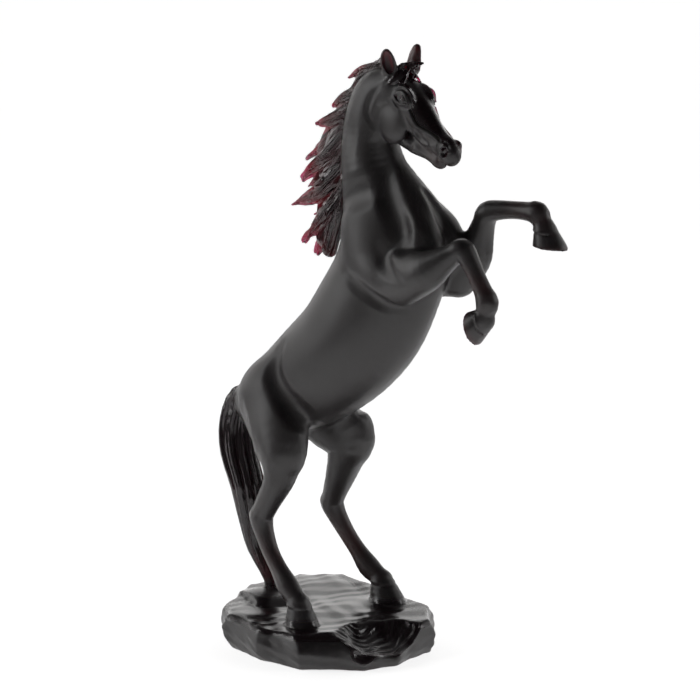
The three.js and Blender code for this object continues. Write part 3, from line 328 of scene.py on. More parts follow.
class Clay:
    """A grid that holds the distance to the surface, and how polished it is there."""

    def __init__(self, low, high, cell):
        self.low = np.array(low, float)
        self.cell = cell
        self.count = np.ceil((np.array(high, float) - self.low) / cell).astype(int) + 1
        self.field = np.full(self.count, FAR, np.float32)
        self.polish = np.zeros(self.count, np.float16)
        self.axes = [(self.low[i] + cell * np.arange(self.count[i])).astype(np.float32) for i in range(3)]

    def window(self, low, high):
        first = np.clip(np.floor((np.asarray(low) - self.low) / self.cell).astype(int), 0, self.count)
        last = np.clip(np.ceil((np.asarray(high) - self.low) / self.cell).astype(int) + 1, 0, self.count)
        return tuple(slice(a, max(a, b)) for a, b in zip(first, last))

    def places(self, window):
        x, y, z = (self.axes[i][window[i]] for i in range(3))
        return x[:, None, None], y[None, :, None], z[None, None, :]

    def measured(self, shape, margin):
        low, high = shape.bounds()
        window = self.window(low - margin, high + margin)
        if any(one.stop <= one.start for one in window):
            return None, None
        return window, shape.distance(self, window, margin)

    def rub(self, window, own, polish):
        """Gives the clay this polish where own is 1, and leaves it where own is 0."""
        own = np.clip(own, 0, 1)
        self.polish[window] += (own * (polish - self.polish[window])).astype(np.float16)

    def add(self, shape, blend, polish=0.0):
        """Joins a shape on, with a soft hollow of size blend where it meets the rest."""
        window, distance = self.measured(shape, blend + 2 * self.cell)
        if window is None:
            return
        before = self.field[window]
        share = np.maximum(blend - np.abs(before - distance), 0) / blend
        self.rub(window, 0.5 + 0.5 * (before - distance) / blend, polish)
        self.field[window] = np.minimum(before, distance) - share * share * blend / 4

    def cut(self, shape, blend, polish=None):
        """Cuts a shape out, with a soft edge of size blend."""
        window, distance = self.measured(shape, blend + 2 * self.cell)
        if window is None:
            return
        before = self.field[window]
        share = np.maximum(blend - np.abs(before + distance), 0) / blend
        if polish is not None:
            self.rub(window, 0.5 - 0.5 * (before + distance) / blend, polish)
        self.field[window] = np.maximum(before, -distance) + share * share * blend / 4

    def sample(self, grid, points):
        """Values of one of the grids at points, from the eight grid points around each."""
        at = (points - self.low) / self.cell
        base = np.clip(np.floor(at).astype(int), 0, self.count - 2)
        rest = (at - base).astype(np.float32)
        total = np.zeros(len(points), np.float32)
        for corner in np.ndindex(2, 2, 2):
            share = np.ones(len(points), np.float32)
            for axis, side in enumerate(corner):
                share = share * (rest[:, axis] if side else 1 - rest[:, axis])
            total += share * grid[tuple((base + corner).T)]
        return total

    def approach(self, points, longest=FAR, strength=1.0):
        """Points moved towards the surface, by no more than the longest step."""
        slope = self.slope(points)
        size = np.maximum((slope ** 2).sum(1), FLATTEST)
        step = np.clip(self.sample(self.field, points) / size, -longest, longest) * strength
        return points - step[:, None] * slope

    def laid(self, points, lift=0.0):
        """The places on the surface nearest to points close to it, lifted by so much."""
        points = np.array(points, float)
        for _ in range(8):
            points = self.approach(points)
        slope = self.slope(points)
        return points + lift * slope / np.maximum(np.linalg.norm(slope, axis=1), 1e-6)[:, None]

    def slope(self, points):
        """The direction in which the distance grows, at points."""
        step = 0.7 * self.cell
        result = np.zeros((len(points), 3))
        for axis, offset in enumerate(step * np.eye(3)):
            ahead = self.sample(self.field, points + offset)
            behind = self.sample(self.field, points - offset)
            result[:, axis] = (ahead - behind) / (2 * step)
        return result


class Egg:
    """An ellipsoid: half sizes along its own direction, across it, and the third way."""

    def __init__(self, centre, sizes, along=(1, 0, 0), across=(0, 1, 0)):
        self.centre = np.array(centre, float)
        self.sizes = np.array(sizes, float)
        first = unit(along)
        second = unit(np.array(across, float) - first * (np.array(across, float) @ first))
        self.axes = np.array([first, second, np.cross(first, second)])

    def bounds(self):
        reach = np.sqrt(((self.axes * self.sizes[:, None]) ** 2).sum(0))
        return self.centre - reach, self.centre + reach

    def distance(self, clay, window, margin):
        x, y, z = (value - middle for value, middle in
                   zip(clay.places(window), self.centre.astype(np.float32)))
        level = 0
        slope = 0
        for axis, size in zip(self.axes.astype(np.float32), self.sizes.astype(np.float32)):
            share = (x * axis[0] + y * axis[1] + z * axis[2]) / size
            level = level + share * share
            slope = slope + (share / size) ** 2
        level = np.sqrt(level)
        return level * (level - 1) / np.maximum(np.sqrt(slope), 1e-6)


def furrow(place):
    """Round ridges with sharp hollows between them: 0 on a ridge, 1 in a hollow, one for each 1."""
    share = 2 * (place - np.floor(place)) - 1
    return np.abs(share) ** 1.6


class Sweep:
    """A tube of changing oval section through stations of (place, half depth, half width).

    The half width lies along the direction across. A comb of (strands, depth, seed, flat) carves
    hair into it: the strands lie side by side over the half depth, or right round if not flat.
    """

    def __init__(self, stations, across=(0, 1, 0), steps=4, comb=None):
        self.rows = smooth_rows([[*at, a, b] for at, a, b in stations], steps)
        self.rows[:, 3:] = np.maximum(self.rows[:, 3:], 0.05)
        self.across = np.array(across, float)
        self.comb = comb
        if comb:
            random = np.random.default_rng(comb[2])
            self.waver = random.uniform(0, 2 * np.pi, 6)

    def combed(self, rest, sideways, a, b, share):
        """How deep the hair is carved, from the signed place in the section and along the whole."""
        strands, depth, _, flat = self.comb
        around = np.arctan2(sideways / b, rest / a)
        place = np.cos(around) * 0.5 if flat else around / (2 * np.pi)
        w = self.waver
        bend = 0.35 * np.sin(w[0] + 3.2 * share)
        turn = 2 * np.pi * (np.sign(sideways) if flat else 1) * place
        bend = bend + 0.22 * np.sin(w[1] + 5 * share + turn) + 0.2 * np.sin(w[2] + 2 * turn)
        coarse = furrow(strands * place + bend)
        second = furrow(2 * strands * place + 2 * bend + 0.3 * np.sin(w[3] + 6 * share))
        return depth * (0.8 * coarse + 0.3 * second)

    def bounds(self):
        reach = self.rows[:, 3:].max(1)[:, None]
        return (self.rows[:, :3] - reach).min(0), (self.rows[:, :3] + reach).max(0)

    def distance(self, clay, window, margin):
        result = np.full([one.stop - one.start for one in window], FAR, np.float32)
        pieces = len(self.rows) - 1
        for number, (start, end) in enumerate(zip(self.rows[:-1], self.rows[1:])):
            reach = max(start[3], start[4], end[3], end[4]) + margin
            inner = clay.window(np.minimum(start[:3], end[:3]) - reach,
                                np.maximum(start[:3], end[:3]) + reach)
            inner = tuple(slice(max(a.start, b.start), min(a.stop, b.stop))
                          for a, b in zip(inner, window))
            if any(one.stop <= one.start for one in inner):
                continue
            axis = end[:3] - start[:3]
            length = max(np.linalg.norm(axis), 1e-6)
            axis = axis / length
            side = unit(self.across - axis * (self.across @ axis)).astype(np.float32)
            axis = axis.astype(np.float32)
            x, y, z = (value - np.float32(one) for value, one in zip(clay.places(inner), start[:3]))
            along = np.clip(x * axis[0] + y * axis[1] + z * axis[2], 0, np.float32(length))
            x, y, z = (one - along * way for one, way in zip((x, y, z), axis))
            along = along / np.float32(length)
            offset = x * side[0] + y * side[1] + z * side[2]
            sideways = offset ** 2
            rest = np.maximum(x * x + y * y + z * z - sideways, 0)
            a = (start[3] + (end[3] - start[3]) * along) ** 2
            b = (start[4] + (end[4] - start[4]) * along) ** 2
            level = np.sqrt(rest / a + sideways / b)
            slope = np.sqrt(rest / (a * a) + sideways / (b * b))
            distance = level * (level - 1) / np.maximum(slope, 1e-6)
            if self.comb:
                up = np.cross(axis, side).astype(np.float32)
                over = x * up[0] + y * up[1] + z * up[2]
                share = (number + along) / pieces
                fade = np.minimum(1, np.sqrt(a) / 2.2)
                distance = distance + fade * self.combed(over, offset, np.sqrt(a), np.sqrt(b), share)
            spot = tuple(slice(one.start - other.start, one.stop - other.start)
                         for one, other in zip(inner, window))
            result[spot] = np.minimum(result[spot], distance)
        return result


class Ring:
    """A thin oval ring round a place, as the line that is carved round a hoof."""

    def __init__(self, centre, sizes, along, thickness):
        half_height = 8.0  # the ring is the waist of an egg
        self.outline = Egg(centre, (*sizes, half_height), along)
        self.centre = np.array(centre, float)
        self.way = np.cross(unit(along), (0, 1, 0))
        self.thickness = thickness

    def bounds(self):
        return self.outline.bounds()

    def distance(self, clay, window, margin):
        x, y, z = clay.places(window)
        level = sum((one - at) * way for one, at, way in zip((x, y, z), self.centre, self.way))
        around = self.outline.distance(clay, window, margin)
        return (np.sqrt(level * level + around * around) - self.thickness).astype(np.float32)


class Behind:
    """A shape cut off flat: only what lies behind the plane is left."""

    def __init__(self, shape, point, normal):
        self.shape = shape
        self.point = np.array(point, float)
        self.normal = unit(normal)

    def bounds(self):
        return self.shape.bounds()

    def distance(self, clay, window, margin):
        x, y, z = (value - np.float32(one) for value, one in zip(clay.places(window), self.point))
        plane = x * self.normal[0] + y * self.normal[1] + z * self.normal[2]
        return np.maximum(self.shape.distance(clay, window, margin), plane)


def rounded_max(first, second, size):
    """The larger of two distances, with the edge between them rounded."""
    share = np.maximum(size - np.abs(first - second), 0) / size
    return np.maximum(first, second) + share * share * size / 4


class Rock:
    """Leaning, broken facets round a waved top, with chips knocked out of the rim."""

    def bounds(self):
        reach = np.array([ROCK_LENGTH, ROCK_WIDTH]) / 2 + 2
        middle = np.array(ROCK_MIDDLE)
        return np.array([*(middle - reach), 0]), np.array([*(middle + reach), ROCK_HEIGHT + 5])

    def distance(self, clay, window, margin):
        x, y, z = clay.places(window)
        waves = ROCK_SWELL * np.sin(x / ROCK_WAVE[0] + 1) * np.cos(y / ROCK_WAVE[1])
        waves = waves + TOP_WAVES[0] * np.sin(0.21 * x + 0.33 * y + 1.3 * np.sin(0.12 * y)) \
            + TOP_WAVES[1] * np.sin(0.46 * x - 0.3 * y + 1.7 * np.sin(0.17 * x + 0.8))
        broken = SIDE_WAVES[0] * np.sin(0.21 * x + 0.17 * y + 0.45 * z) * np.cos(0.19 * y - 0.5 * z + 0.5)
        broken = broken + SIDE_WAVES[1] * np.sin(0.61 * x + 0.7 * z + 1) * np.sin(0.53 * y - 0.62 * z)
        top = ROCK_HEIGHT + ROCK_TILT[0] * x + ROCK_TILT[1] * y + waves
        deepest = np.maximum(-z, z - top)
        corners = [np.array(ROCK_MIDDLE) + np.array(at) * np.array([ROCK_LENGTH, ROCK_WIDTH]) / 2
                   for at, _, _ in ROCK_CORNERS]
        for i, (corner, (_, rim, foot)) in enumerate(zip(corners, ROCK_CORNERS)):
            after = corners[(i + 1) % len(corners)]
            run = after - corner
            width = np.hypot(*run)
            run = run / width
            out = (x - corner[0]) * run[1] - (y - corner[1]) * run[0]
            share = ((x - corner[0]) * run[0] + (y - corner[1]) * run[1]) / width
            out = out + SCALLOP * np.maximum(0, 4 * share * (1 - share)) + broken
            sides = [(out + (z - ROCK_WAIST) * lean) / np.hypot(1, lean) for lean in
                     (rim / (ROCK_HEIGHT - ROCK_WAIST), -foot / ROCK_WAIST)]
            deepest = rounded_max(deepest, rounded_max(*sides, ROCK_RIM), ROCK_EDGE)
        for at, sizes in CHIPS:
            struck = np.sqrt((x - 0.5 * at[0]) ** 2 + (y - 0.5 * at[1]) ** 2 + (z - ROCK_HEIGHT) ** 2)
            waver = 1.6 * np.sin(0.3 * x + 0.27 * y + 0.2 * z)
            ripples = RIPPLE[0] * np.sin(RIPPLE[1] * struck + waver)
            hollow = Egg(at, sizes).distance(clay, window, margin)
            deepest = rounded_max(deepest, -hollow + ripples + broken, ROCK_EDGE)
        return deepest.astype(np.float32)


def on_joints(joints, t):
    """The place at t, counted in joints, on a line that rounds the joints a little."""
    joints = [np.array(joint, float) for joint in joints]
    i = min(int(t), len(joints) - 2)
    s = t - i
    b, c = joints[i], joints[i + 1]
    a = joints[i - 1] if i > 0 else 2 * b - c
    d = joints[i + 2] if i + 2 < len(joints) else 2 * c - b
    return (curved(a, b, c, d, s) + b + s * (c - b)) / 2


def grown(rows):
    """Rows of (place of the figure, half depth, half width) as stations of a sweep."""
    return [(placed(at), a * PART, b * PART) for at, a, b in rows]


def limb(joints, sections, comb=None):
    return Sweep(grown((on_joints(joints, t), a, b) for t, a, b in sections), steps=3, comb=comb)


def body(clay):
    clay.add(Sweep(grown(TRUNK)), 4)
    for side in (-1, 1):
        for (x, y, z), sizes, along, blend in MUSCLES:
            clay.add(Egg(placed((x, side * y, z)), np.array(sizes) * PART, along), blend)
    clay.add(Sweep(grown(NECK)), 8)


settled = {}  # the laid places of each line, found on the first clay and kept for the others


def line_on(clay, places, size, ends, lift):
    """Stations of a thin rod along places close to the surface, thinner at both ends."""
    key = (tuple(np.ravel(places).round(3)), size)
    if key not in settled:
        settled[key] = clay.laid(places, lift)
    shares = [ends] + [1] * (len(places) - 2) + [ends]
    return [(at, size * share, size * share) for at, share in zip(settled[key], shares)]


def groove(clay, places, size, blend, lift=0.0, polish=None):
    """Cuts a groove along places close to the surface. It runs out at both ends."""
    clay.cut(Sweep(line_on(clay, places, size, 0.3, lift)), blend, polish)


def bead(clay, places, size, blend, lift=0.0):
    """Adds a thin rod along places close to the surface. It runs out at both ends."""
    clay.add(Sweep(line_on(clay, places, size, 0.4, lift)), blend)


def creases(clay):
    for side in (-1, 1):
        for line, size, blend, lift in CREASES:
            groove(clay, [placed((x, side * y, z)) for x, y, z in line], size, blend, lift)
    for line, size, blend, lift in MIDDLE_CREASES:
        groove(clay, [placed(at) for at in line], size, blend, lift)


def hoof(clay, joints, form):
    coronet, sole, way = form
    top, ground = placed(joints[-2]), placed(joints[-1])
    way = unit(way)
    normal = unit(np.cross(way, (0, 1, 0)))
    if normal @ (ground - top) < 0:
        normal = -normal
    end = ground + 0.5 * (ground - top)
    beyond = [1.5 * low - 0.5 * high for high, low in zip(coronet, sole)]
    cone = Sweep([(top, *coronet), (ground, *sole), (end, *beyond)], steps=3)
    clay.add(Behind(cone, ground, normal), 0.8)
    down, line_size = CORONET_LINE
    size = [(1 - down) * high + down * low for high, low in zip(coronet, sole)]
    clay.cut(Ring(top + down * (ground - top), size, way, line_size), 0.4)
    wider, half_height = CORONET_LEDGE
    clay.add(Egg(top, (coronet[0] * wider, coronet[1] * wider, half_height), way), 0.4)


def legs(clay):
    for joints in HIND_LEGS:
        clay.add(limb(joints, HIND_SECTIONS), 4)
        hock, gaskin = np.array(joints[3], float), np.array(joints[2], float)
        point = hock + HOCK_POINT
        root = 0.3 * hock + 0.7 * gaskin + TENDON_ROOT
        middle = 0.55 * point + 0.45 * root
        clay.add(Sweep([(placed(at), *size) for at, size in zip((point, middle, root), TENDON)]), 3)
        hoof(clay, joints, HIND_HOOF)
    for joints in FORE_LEGS:
        clay.add(limb(joints, FORE_SECTIONS), 4)
    creases(clay)
    hoof(clay, FORE_LEGS[0], RIGHT_FORE_HOOF)
    hoof(clay, FORE_LEGS[1], LEFT_FORE_HOOF)


def head_axes():
    turn, nod, lean = np.radians([HEAD_TURN, HEAD_NOD, HEAD_LEAN])
    forward = np.array([np.cos(nod) * np.cos(turn), np.cos(nod) * np.sin(turn), np.sin(nod)])
    level = np.array([-np.sin(turn), np.cos(turn), 0])
    up = np.cross(forward, level)
    left = np.cos(lean) * level + np.sin(lean) * up
    return np.array([forward, left, np.cross(forward, left)])


HEAD = head_axes()


def on_head(spot, side=1):
    forward, left, up = spot
    return placed(HEAD_MIDDLE) + np.array([forward, side * left, up]) * PART @ HEAD


def head_egg(spot, sizes, side=1):
    return Egg(on_head(spot, side), np.array(sizes) * PART, HEAD[0], HEAD[1])


def head_rod(rows, side=1, steps=4):
    return Sweep([(on_head(spot, side), a * PART, b * PART) for spot, a, b in rows], HEAD[1], steps)


def leaning(rows, side):
    """An ear's rows. The left ear leans out more towards its tip."""
    if side < 0:
        return rows
    base, tip = EAR[0][0][2], EAR[-1][0][2]
    result = []
    for spot, a, b in rows:
        share = (spot[2] - base) / (tip - base)
        result.append((np.array(spot) + share * np.array(LEFT_EAR_LEAN), a, b))
    return result


def head(clay):
    for rows, blend in ((SKULL, 4), (JAW, 3)):
        clay.add(head_rod([((f, 0, u), a, b) for f, u, a, b in rows]), blend)
    clay.add(head_egg(*CHIN), 1.5)
    clay.add(head_egg(*THROAT), 3)
    for side in (-1, 1):
        rise = EYE_RISE[side]

        def lines(spots, lift=0):
            return [on_head((f, l, u + lift), side) for f, l, u in spots]

        def lifted(form):
            (f, l, u), sizes, blend = form
            return head_egg((f, l, u + rise), sizes, side)

        clay.add(head_egg(*CHEEK[:2], side), CHEEK[2])
        clay.add(lifted(ORBIT), ORBIT[2])
        groove(clay, lines(JAW_HOLLOW), 1.7, 2.4, 0.8)
        groove(clay, lines(THROAT_LINE), 1.8, 2, 1.4)
        groove(clay, lines(FACE_HOLLOW), 2, 2.5, 0.8)
        bead(clay, lines(FACE_RIDGE), 1.1, 0.8, 0.2)
        bead(clay, lines(VEIN), 0.7, 1.4, -0.2)
        groove(clay, lines(TEAR_LINE, rise), 0.9, 0.5)
        clay.add(lifted(EYEBALL), EYEBALL[2], 1)
        groove(clay, lines(EYE_TOP, rise), 0.8, 0.4, 0, 1)
        groove(clay, lines(EYE_FOOT, rise), 0.7, 0.4, 0, 1)
        bead(clay, lines(UPPER_LID, rise), 1, 0.4, 0.5)
        bead(clay, lines(LOWER_LID, rise), 0.7, 0.4, 0.3)
        groove(clay, lines(LID_FOLD, rise), 0.9, 0.4)
        f, _, u = EYEBALL[0]
        pupil = line_on(clay, [on_head((f, PUPIL_OUT, u + rise), side)] * 2, 0.1, 1, 0)[0][0]
        clay.cut(Egg(pupil, [PUPIL[0], PUPIL[1], PUPIL[0]], HEAD[0], HEAD[1]), 0.2, 1)
        clay.add(head_egg(*NOSTRIL_RIM[:2], side), NOSTRIL_RIM[2])
        clay.cut(head_egg(*NOSTRIL[:2], side), NOSTRIL[2], 0.95)
        groove(clay, lines(NOSTRIL_FOLD), 0.9, 0.6)
        groove(clay, lines(MOUTH), 0.8, 0.4)
        groove(clay, lines(LIP_FOLD), 0.5, 0.8)
    for side in (-1, 1):
        clay.add(head_rod(leaning(EAR, side), side), 2)
        clay.cut(head_rod(leaning(EAR_HOLLOW, side), side), 0.8)
    blaze(clay)
    for k, rows in enumerate(FORELOCKS):
        rows = [(on_head(spot), a * PART, b * PART) for spot, a, b in rows]
        clay.add(Sweep(rows, HEAD[0], 4, comb_of(FORELOCK_COMB, k)), 1, 1)


def blaze(clay):
    """Polishes the forehead and the bridge of the nose, above the ridge on each side."""
    line = np.array(FACE_RIDGE)
    everywhere = clay.places([slice(None)] * 3)
    x, y, z = (value - middle for value, middle in zip(everywhere, placed(HEAD_MIDDLE)))
    forward, left, up = (x * axis[0] + y * axis[1] + z * axis[2] for axis in HEAD)
    above = up - np.interp(forward, line[:, 0], line[:, 2])
    back, front = BLAZE_ENDS
    own = np.clip(above - 1, 0, 1)
    own = own * np.clip((forward - back) / 3, 0, 1) * np.clip((front - forward) / 3, 0, 1)
    reach = np.where(left > 0, np.interp(forward, *BLAZE_FAR), np.interp(forward, *BLAZE_NEAR))
    own = own * np.clip(reach - np.abs(left), 0, 1)
    clay.polish[:] = np.maximum(clay.polish, BLAZE_POLISH * own)


def comb_of(comb, number):
    """The same comb with its own seed."""
    strands, depth, seed, flat = comb
    return strands, depth, seed + number, flat


def hair(clay):
    crest = [(placed((x, 0, z)), 5, 4) for x, z in CREST]
    clay.add(Sweep(crest, steps=3, comb=CREST_COMB), 2, 1)
    sheet = [(placed((x, 0, z)), size * PART, SHEET_WIDTH) for (x, z), size in MANE_SHEET]
    clay.add(Sweep(sheet), 1, 1)
    for i, rows in enumerate(LOCKS):
        y = -LOCK_SPREAD if i % 2 else LOCK_SPREAD
        stations = [(placed((x, y if n else 0, z)), size * PART, LOCK_WIDTHS[n] * PART)
                    for n, ((x, z), size) in enumerate(rows)]
        clay.add(Sweep(stations, comb=comb_of(LOCK_COMB, i)), 0.4, 1)
    clay.add(limb(TAIL, TAIL_SECTIONS, TAIL_COMB), 3, 1)


def rock(clay):
    clay.add(Rock(), 0.5)
    at, sizes, blend = LEFT_RISE
    clay.add(Egg(placed(at), np.array(sizes) * PART), blend)
    at, sizes, blend = TAIL_MOUND
    mound = Egg(placed(at), np.array(sizes) * PART)
    clay.add(Behind(mound, placed(MOUND_FACE[0]), MOUND_FACE[1]), blend)
    window = clay.window(*Rock().bounds())
    x, y, z = clay.places(window)
    top = ROCK_HEIGHT + ROCK_TILT[0] * x + ROCK_TILT[1] * y
    own = np.clip(1 + (z - top + 2.5), 0, 1) * np.clip(1 - (z - top - 3) / 2, 0, 1)
    shine = TOP_POLISH * own
    for at, sizes in CHIPS:
        chipped = np.clip(1.5 - Egg(at, sizes).distance(clay, window, 1), 0, 1) * np.clip(top - z + 1, 0, 1)
        shine = np.maximum(shine, CHIP_POLISH * chipped)
    clay.polish[window] = np.maximum(clay.polish[window], shine).astype(np.float16)


def model(clay):
    body(clay)
    head(clay)
    legs(clay)
    hair(clay)
    rock(clay)


def surface(field, low, cell):
    """The zero surface of a grid: one vertex in each crossed cell, a quad for each crossed edge."""
    inside = field < 0
    nx, ny, nz = field.shape
    total = sum(inside[i:nx - 1 + i, j:ny - 1 + j, k:nz - 1 + k].astype(np.int8)
                for i, j, k in np.ndindex(2, 2, 2))
    cells = np.argwhere((total > 0) & (total < 8))
    numbers = np.full((nx - 1, ny - 1, nz - 1), -1, np.int32)
    numbers[tuple(cells.T)] = np.arange(len(cells))
    values = {corner: field[tuple((cells + corner).T)].astype(float)
              for corner in np.ndindex(2, 2, 2)}
    places = np.zeros((len(cells), 3))
    count = np.zeros(len(cells))
    for axis, u, v in np.ndindex(3, 2, 2):
        start = [0, 0, 0]
        start[(axis + 1) % 3], start[(axis + 2) % 3] = u, v
        end = list(start)
        end[axis] = 1
        first, second = values[tuple(start)], values[tuple(end)]
        crossed = (first < 0) != (second < 0)
        t = np.where(crossed, first / np.where(crossed, first - second, 1), 0)
        point = np.repeat(np.array(start, float)[None, :], len(cells), 0)
        point[:, axis] = t
        places[crossed] += point[crossed]
        count[crossed] += 1
    vertices = low + cell * (cells + places / count[:, None])
    quads = []
    for axis in range(3):
        here = [slice(1, -1)] * 3
        there = [slice(1, -1)] * 3
        here[axis], there[axis] = slice(0, -1), slice(1, None)
        first, second = inside[tuple(here)], inside[tuple(there)]
        edges = np.argwhere(first != second)
        turned = first[tuple(edges.T)]
        offset = np.ones(3, int)
        offset[axis] = 0
        edges = edges + offset
        u, v = np.zeros(3, int), np.zeros(3, int)
        u[(axis + 1) % 3], v[(axis + 2) % 3] = 1, 1
        quad = np.stack([numbers[tuple((edges - step).T)] for step in (u + v, v, 0 * u, u)], 1)
        quad[~turned] = quad[~turned][:, ::-1]
        quads.append(quad)
    return vertices, np.vstack(quads)


def refined(vertices, quads, chosen):
    """Splits the chosen quads in four. Their neighbours take the new points into their edges."""
    edges = np.stack([quads, np.roll(quads, -1, 1)], 2)
    keys = np.sort(edges.reshape(-1, 2), 1).astype(np.int64)
    keys = keys[:, 0] * len(vertices) + keys[:, 1]
    _, number = np.unique(keys, return_inverse=True)
    number = number.reshape(-1, 4)
    split = np.zeros(number.max() + 1, bool)
    split[number[chosen].ravel()] = True
    middle = np.full(len(split), -1)
    middle[split] = len(vertices) + np.arange(split.sum())
    ends = np.zeros((len(split), 2), int)
    ends[number.ravel()] = edges.reshape(-1, 2)
    halves = (vertices[ends[split, 0]] + vertices[ends[split, 1]]) / 2
    own = quads[chosen]
    centre = len(vertices) + len(halves) + np.arange(len(own))
    middles = vertices[own].mean(1)
    sides = middle[number[chosen]]
    small = [np.stack([own[:, i], sides[:, i], centre, sides[:, i - 1]], 1) for i in range(4)]
    faces = np.vstack(small).tolist()
    rest = ~chosen
    touched = rest & split[number].any(1)
    faces += quads[rest & ~touched].tolist()
    for quad, sides in zip(quads[touched], middle[number[touched]]):
        face = []
        for corner, side in zip(quad.tolist(), sides.tolist()):
            face += [corner] if side < 0 else [corner, side]
        faces.append(face)
    return np.vstack([vertices, halves, middles]), faces


def settle(clay, points, strength):
    """Moves points on to the surface of the clay."""
    for _ in range(3):
        points = clay.approach(points, clay.cell, strength)
    return points


def patches():
    """The corners of the boxes that are modelled in finer clay: head, mane and tail."""
    corners = [on_head((f, l, u)) for f in HEAD_REACH[0] for l in HEAD_REACH[1] for u in HEAD_REACH[2]]
    return [(np.min(corners, 0), np.max(corners, 0))] + [(placed(a), placed(b)) for a, b in HAIR_REACH]


def casting():
    """The finished casting as an object, with its polish as a value in each vertex."""
    clay = Clay(CLAY_LOW, CLAY_HIGH, CELL)
    model(clay)
    vertices, quads = surface(clay.field, clay.low, clay.cell)
    fine = []
    for low, high in patches():
        patch = Clay(low, high, FINE_CELL)
        model(patch)
        fine.append((patch, low, high))
    centres = vertices[quads].mean(1)
    chosen = np.zeros(len(quads), bool)
    for _, low, high in fine:
        chosen |= ((centres > low + 1.5) & (centres < high - 1.5)).all(1)
    vertices, faces = refined(vertices, quads, chosen)
    vertices = settle(clay, vertices, 0.8)
    for patch, low, high in fine:
        share = np.clip((np.minimum(vertices - low, high - vertices).min(1) - 1) / 2, 0, 1)
        near = share > 0
        vertices[near] = settle(patch, vertices[near], 0.9 * share[near])
    vertices[:, 2] = np.maximum(vertices[:, 2], 0)
    mesh = bpy.data.meshes.new(NAME)
    mesh.from_pydata(vertices * MILLIMETRE, [], faces)
    mesh.validate()
    mesh.calc_loop_triangles()
    horse = bpy.data.objects.new(NAME, mesh)
    bpy.context.scene.collection.objects.link(horse)
    fewer = horse.modifiers.new("fewer", "DECIMATE")
    fewer.ratio = min(1, TRIANGLES / len(mesh.loop_triangles))
    bpy.context.view_layer.update()
    result = bpy.data.meshes.new_from_object(horse.evaluated_get(bpy.context.evaluated_depsgraph_get()))
    horse.modifiers.clear()
    horse.data = result
    result.name = NAME
    places = np.zeros(len(result.vertices) * 3, np.float32)
    result.vertices.foreach_get("co", places)
    places = places.reshape(-1, 3) / MILLIMETRE
    polish = clay.sample(clay.polish, places)
    normals = clay.slope(places)
    for patch, low, high in fine:
        inner = np.minimum(places - low, high - places).min(1) > 2
        polish[inner] = patch.sample(patch.polish, places[inner])
        normals[inner] = patch.slope(places[inner])
    attribute = result.attributes.new("polish", "FLOAT", "POINT")
    attribute.data.foreach_set("value", polish.astype(np.float32))
    result.polygons.foreach_set("use_smooth", np.ones(len(result.polygons), bool))
    result.normals_split_custom_set_from_vertices(
        (normals / np.maximum(np.linalg.norm(normals, axis=1), 1e-6)[:, None]).tolist())
    return horse


def node(nodes, kind, values, **settings):
    """A node with its settings and with values in its inputs."""
    result = nodes.new("ShaderNode" + kind)
    for name, value in settings.items():
        setattr(result, name, value)
    for name, value in values.items():
        result.inputs[name].default_value = value
    return result


def join(first, outlet, second, inlet):
    """Links an outlet of the first node to an inlet of the second."""
    first.id_data.links.new(first.outputs[outlet], second.inputs[inlet])


def ease(nodes, start, end, first, last):
    """A node that goes smoothly from the first value to the last between start and end."""
    values = {"From Min": start, "From Max": end, "To Min": first, "To Max": last}
    return node(nodes, "MapRange", values, interpolation_type="SMOOTHSTEP")


def crystal():
    """Dark ruby crystal: satin on the body, polished on hair, forehead, rock top and chips."""
    material = bpy.data.materials.new("ruby_crystal")
    material.use_nodes = True
    nodes = material.node_tree.nodes
    nodes.clear()
    output = node(nodes, "OutputMaterial", {})
    shader = node(nodes, "BsdfPrincipled", {"Transmission Weight": CLEAR_SHARE, "IOR": CRYSTAL_INDEX})
    join(shader, "BSDF", output, "Surface")
    depth = node(nodes, "VolumeAbsorption", {"Color": DEPTH_COLOUR, "Density": DEPTH_DENSITY})
    join(depth, "Volume", output, "Volume")
    polish = node(nodes, "Attribute", {}, attribute_name="polish")
    tint = node(nodes, "Mix", {"A": SATIN_TINT, "B": POLISHED_TINT}, data_type="RGBA")
    join(polish, "Fac", tint, "Factor")
    join(tint, "Result", shader, "Base Color")
    place = node(nodes, "TexCoord", {})
    cloud = node(nodes, "TexNoise", CLOUDS)
    join(place, "Object", cloud, "Vector")
    satin = node(nodes, "MapRange", {"To Min": SATIN[0], "To Max": SATIN[1]})
    join(cloud, "Fac", satin, "Value")
    rough = node(nodes, "MapRange", {"To Max": POLISHED})
    join(polish, "Fac", rough, "Value")
    join(satin, "Result", rough, "To Min")
    join(rough, "Result", shader, "Roughness")
    grain = node(nodes, "TexNoise", GRAIN)
    join(place, "Object", grain, "Vector")
    bump = node(nodes, "Bump", GRAIN_DEPTH)
    join(grain, "Fac", bump, "Height")
    join(bump, "Normal", shader, "Normal")
    return material


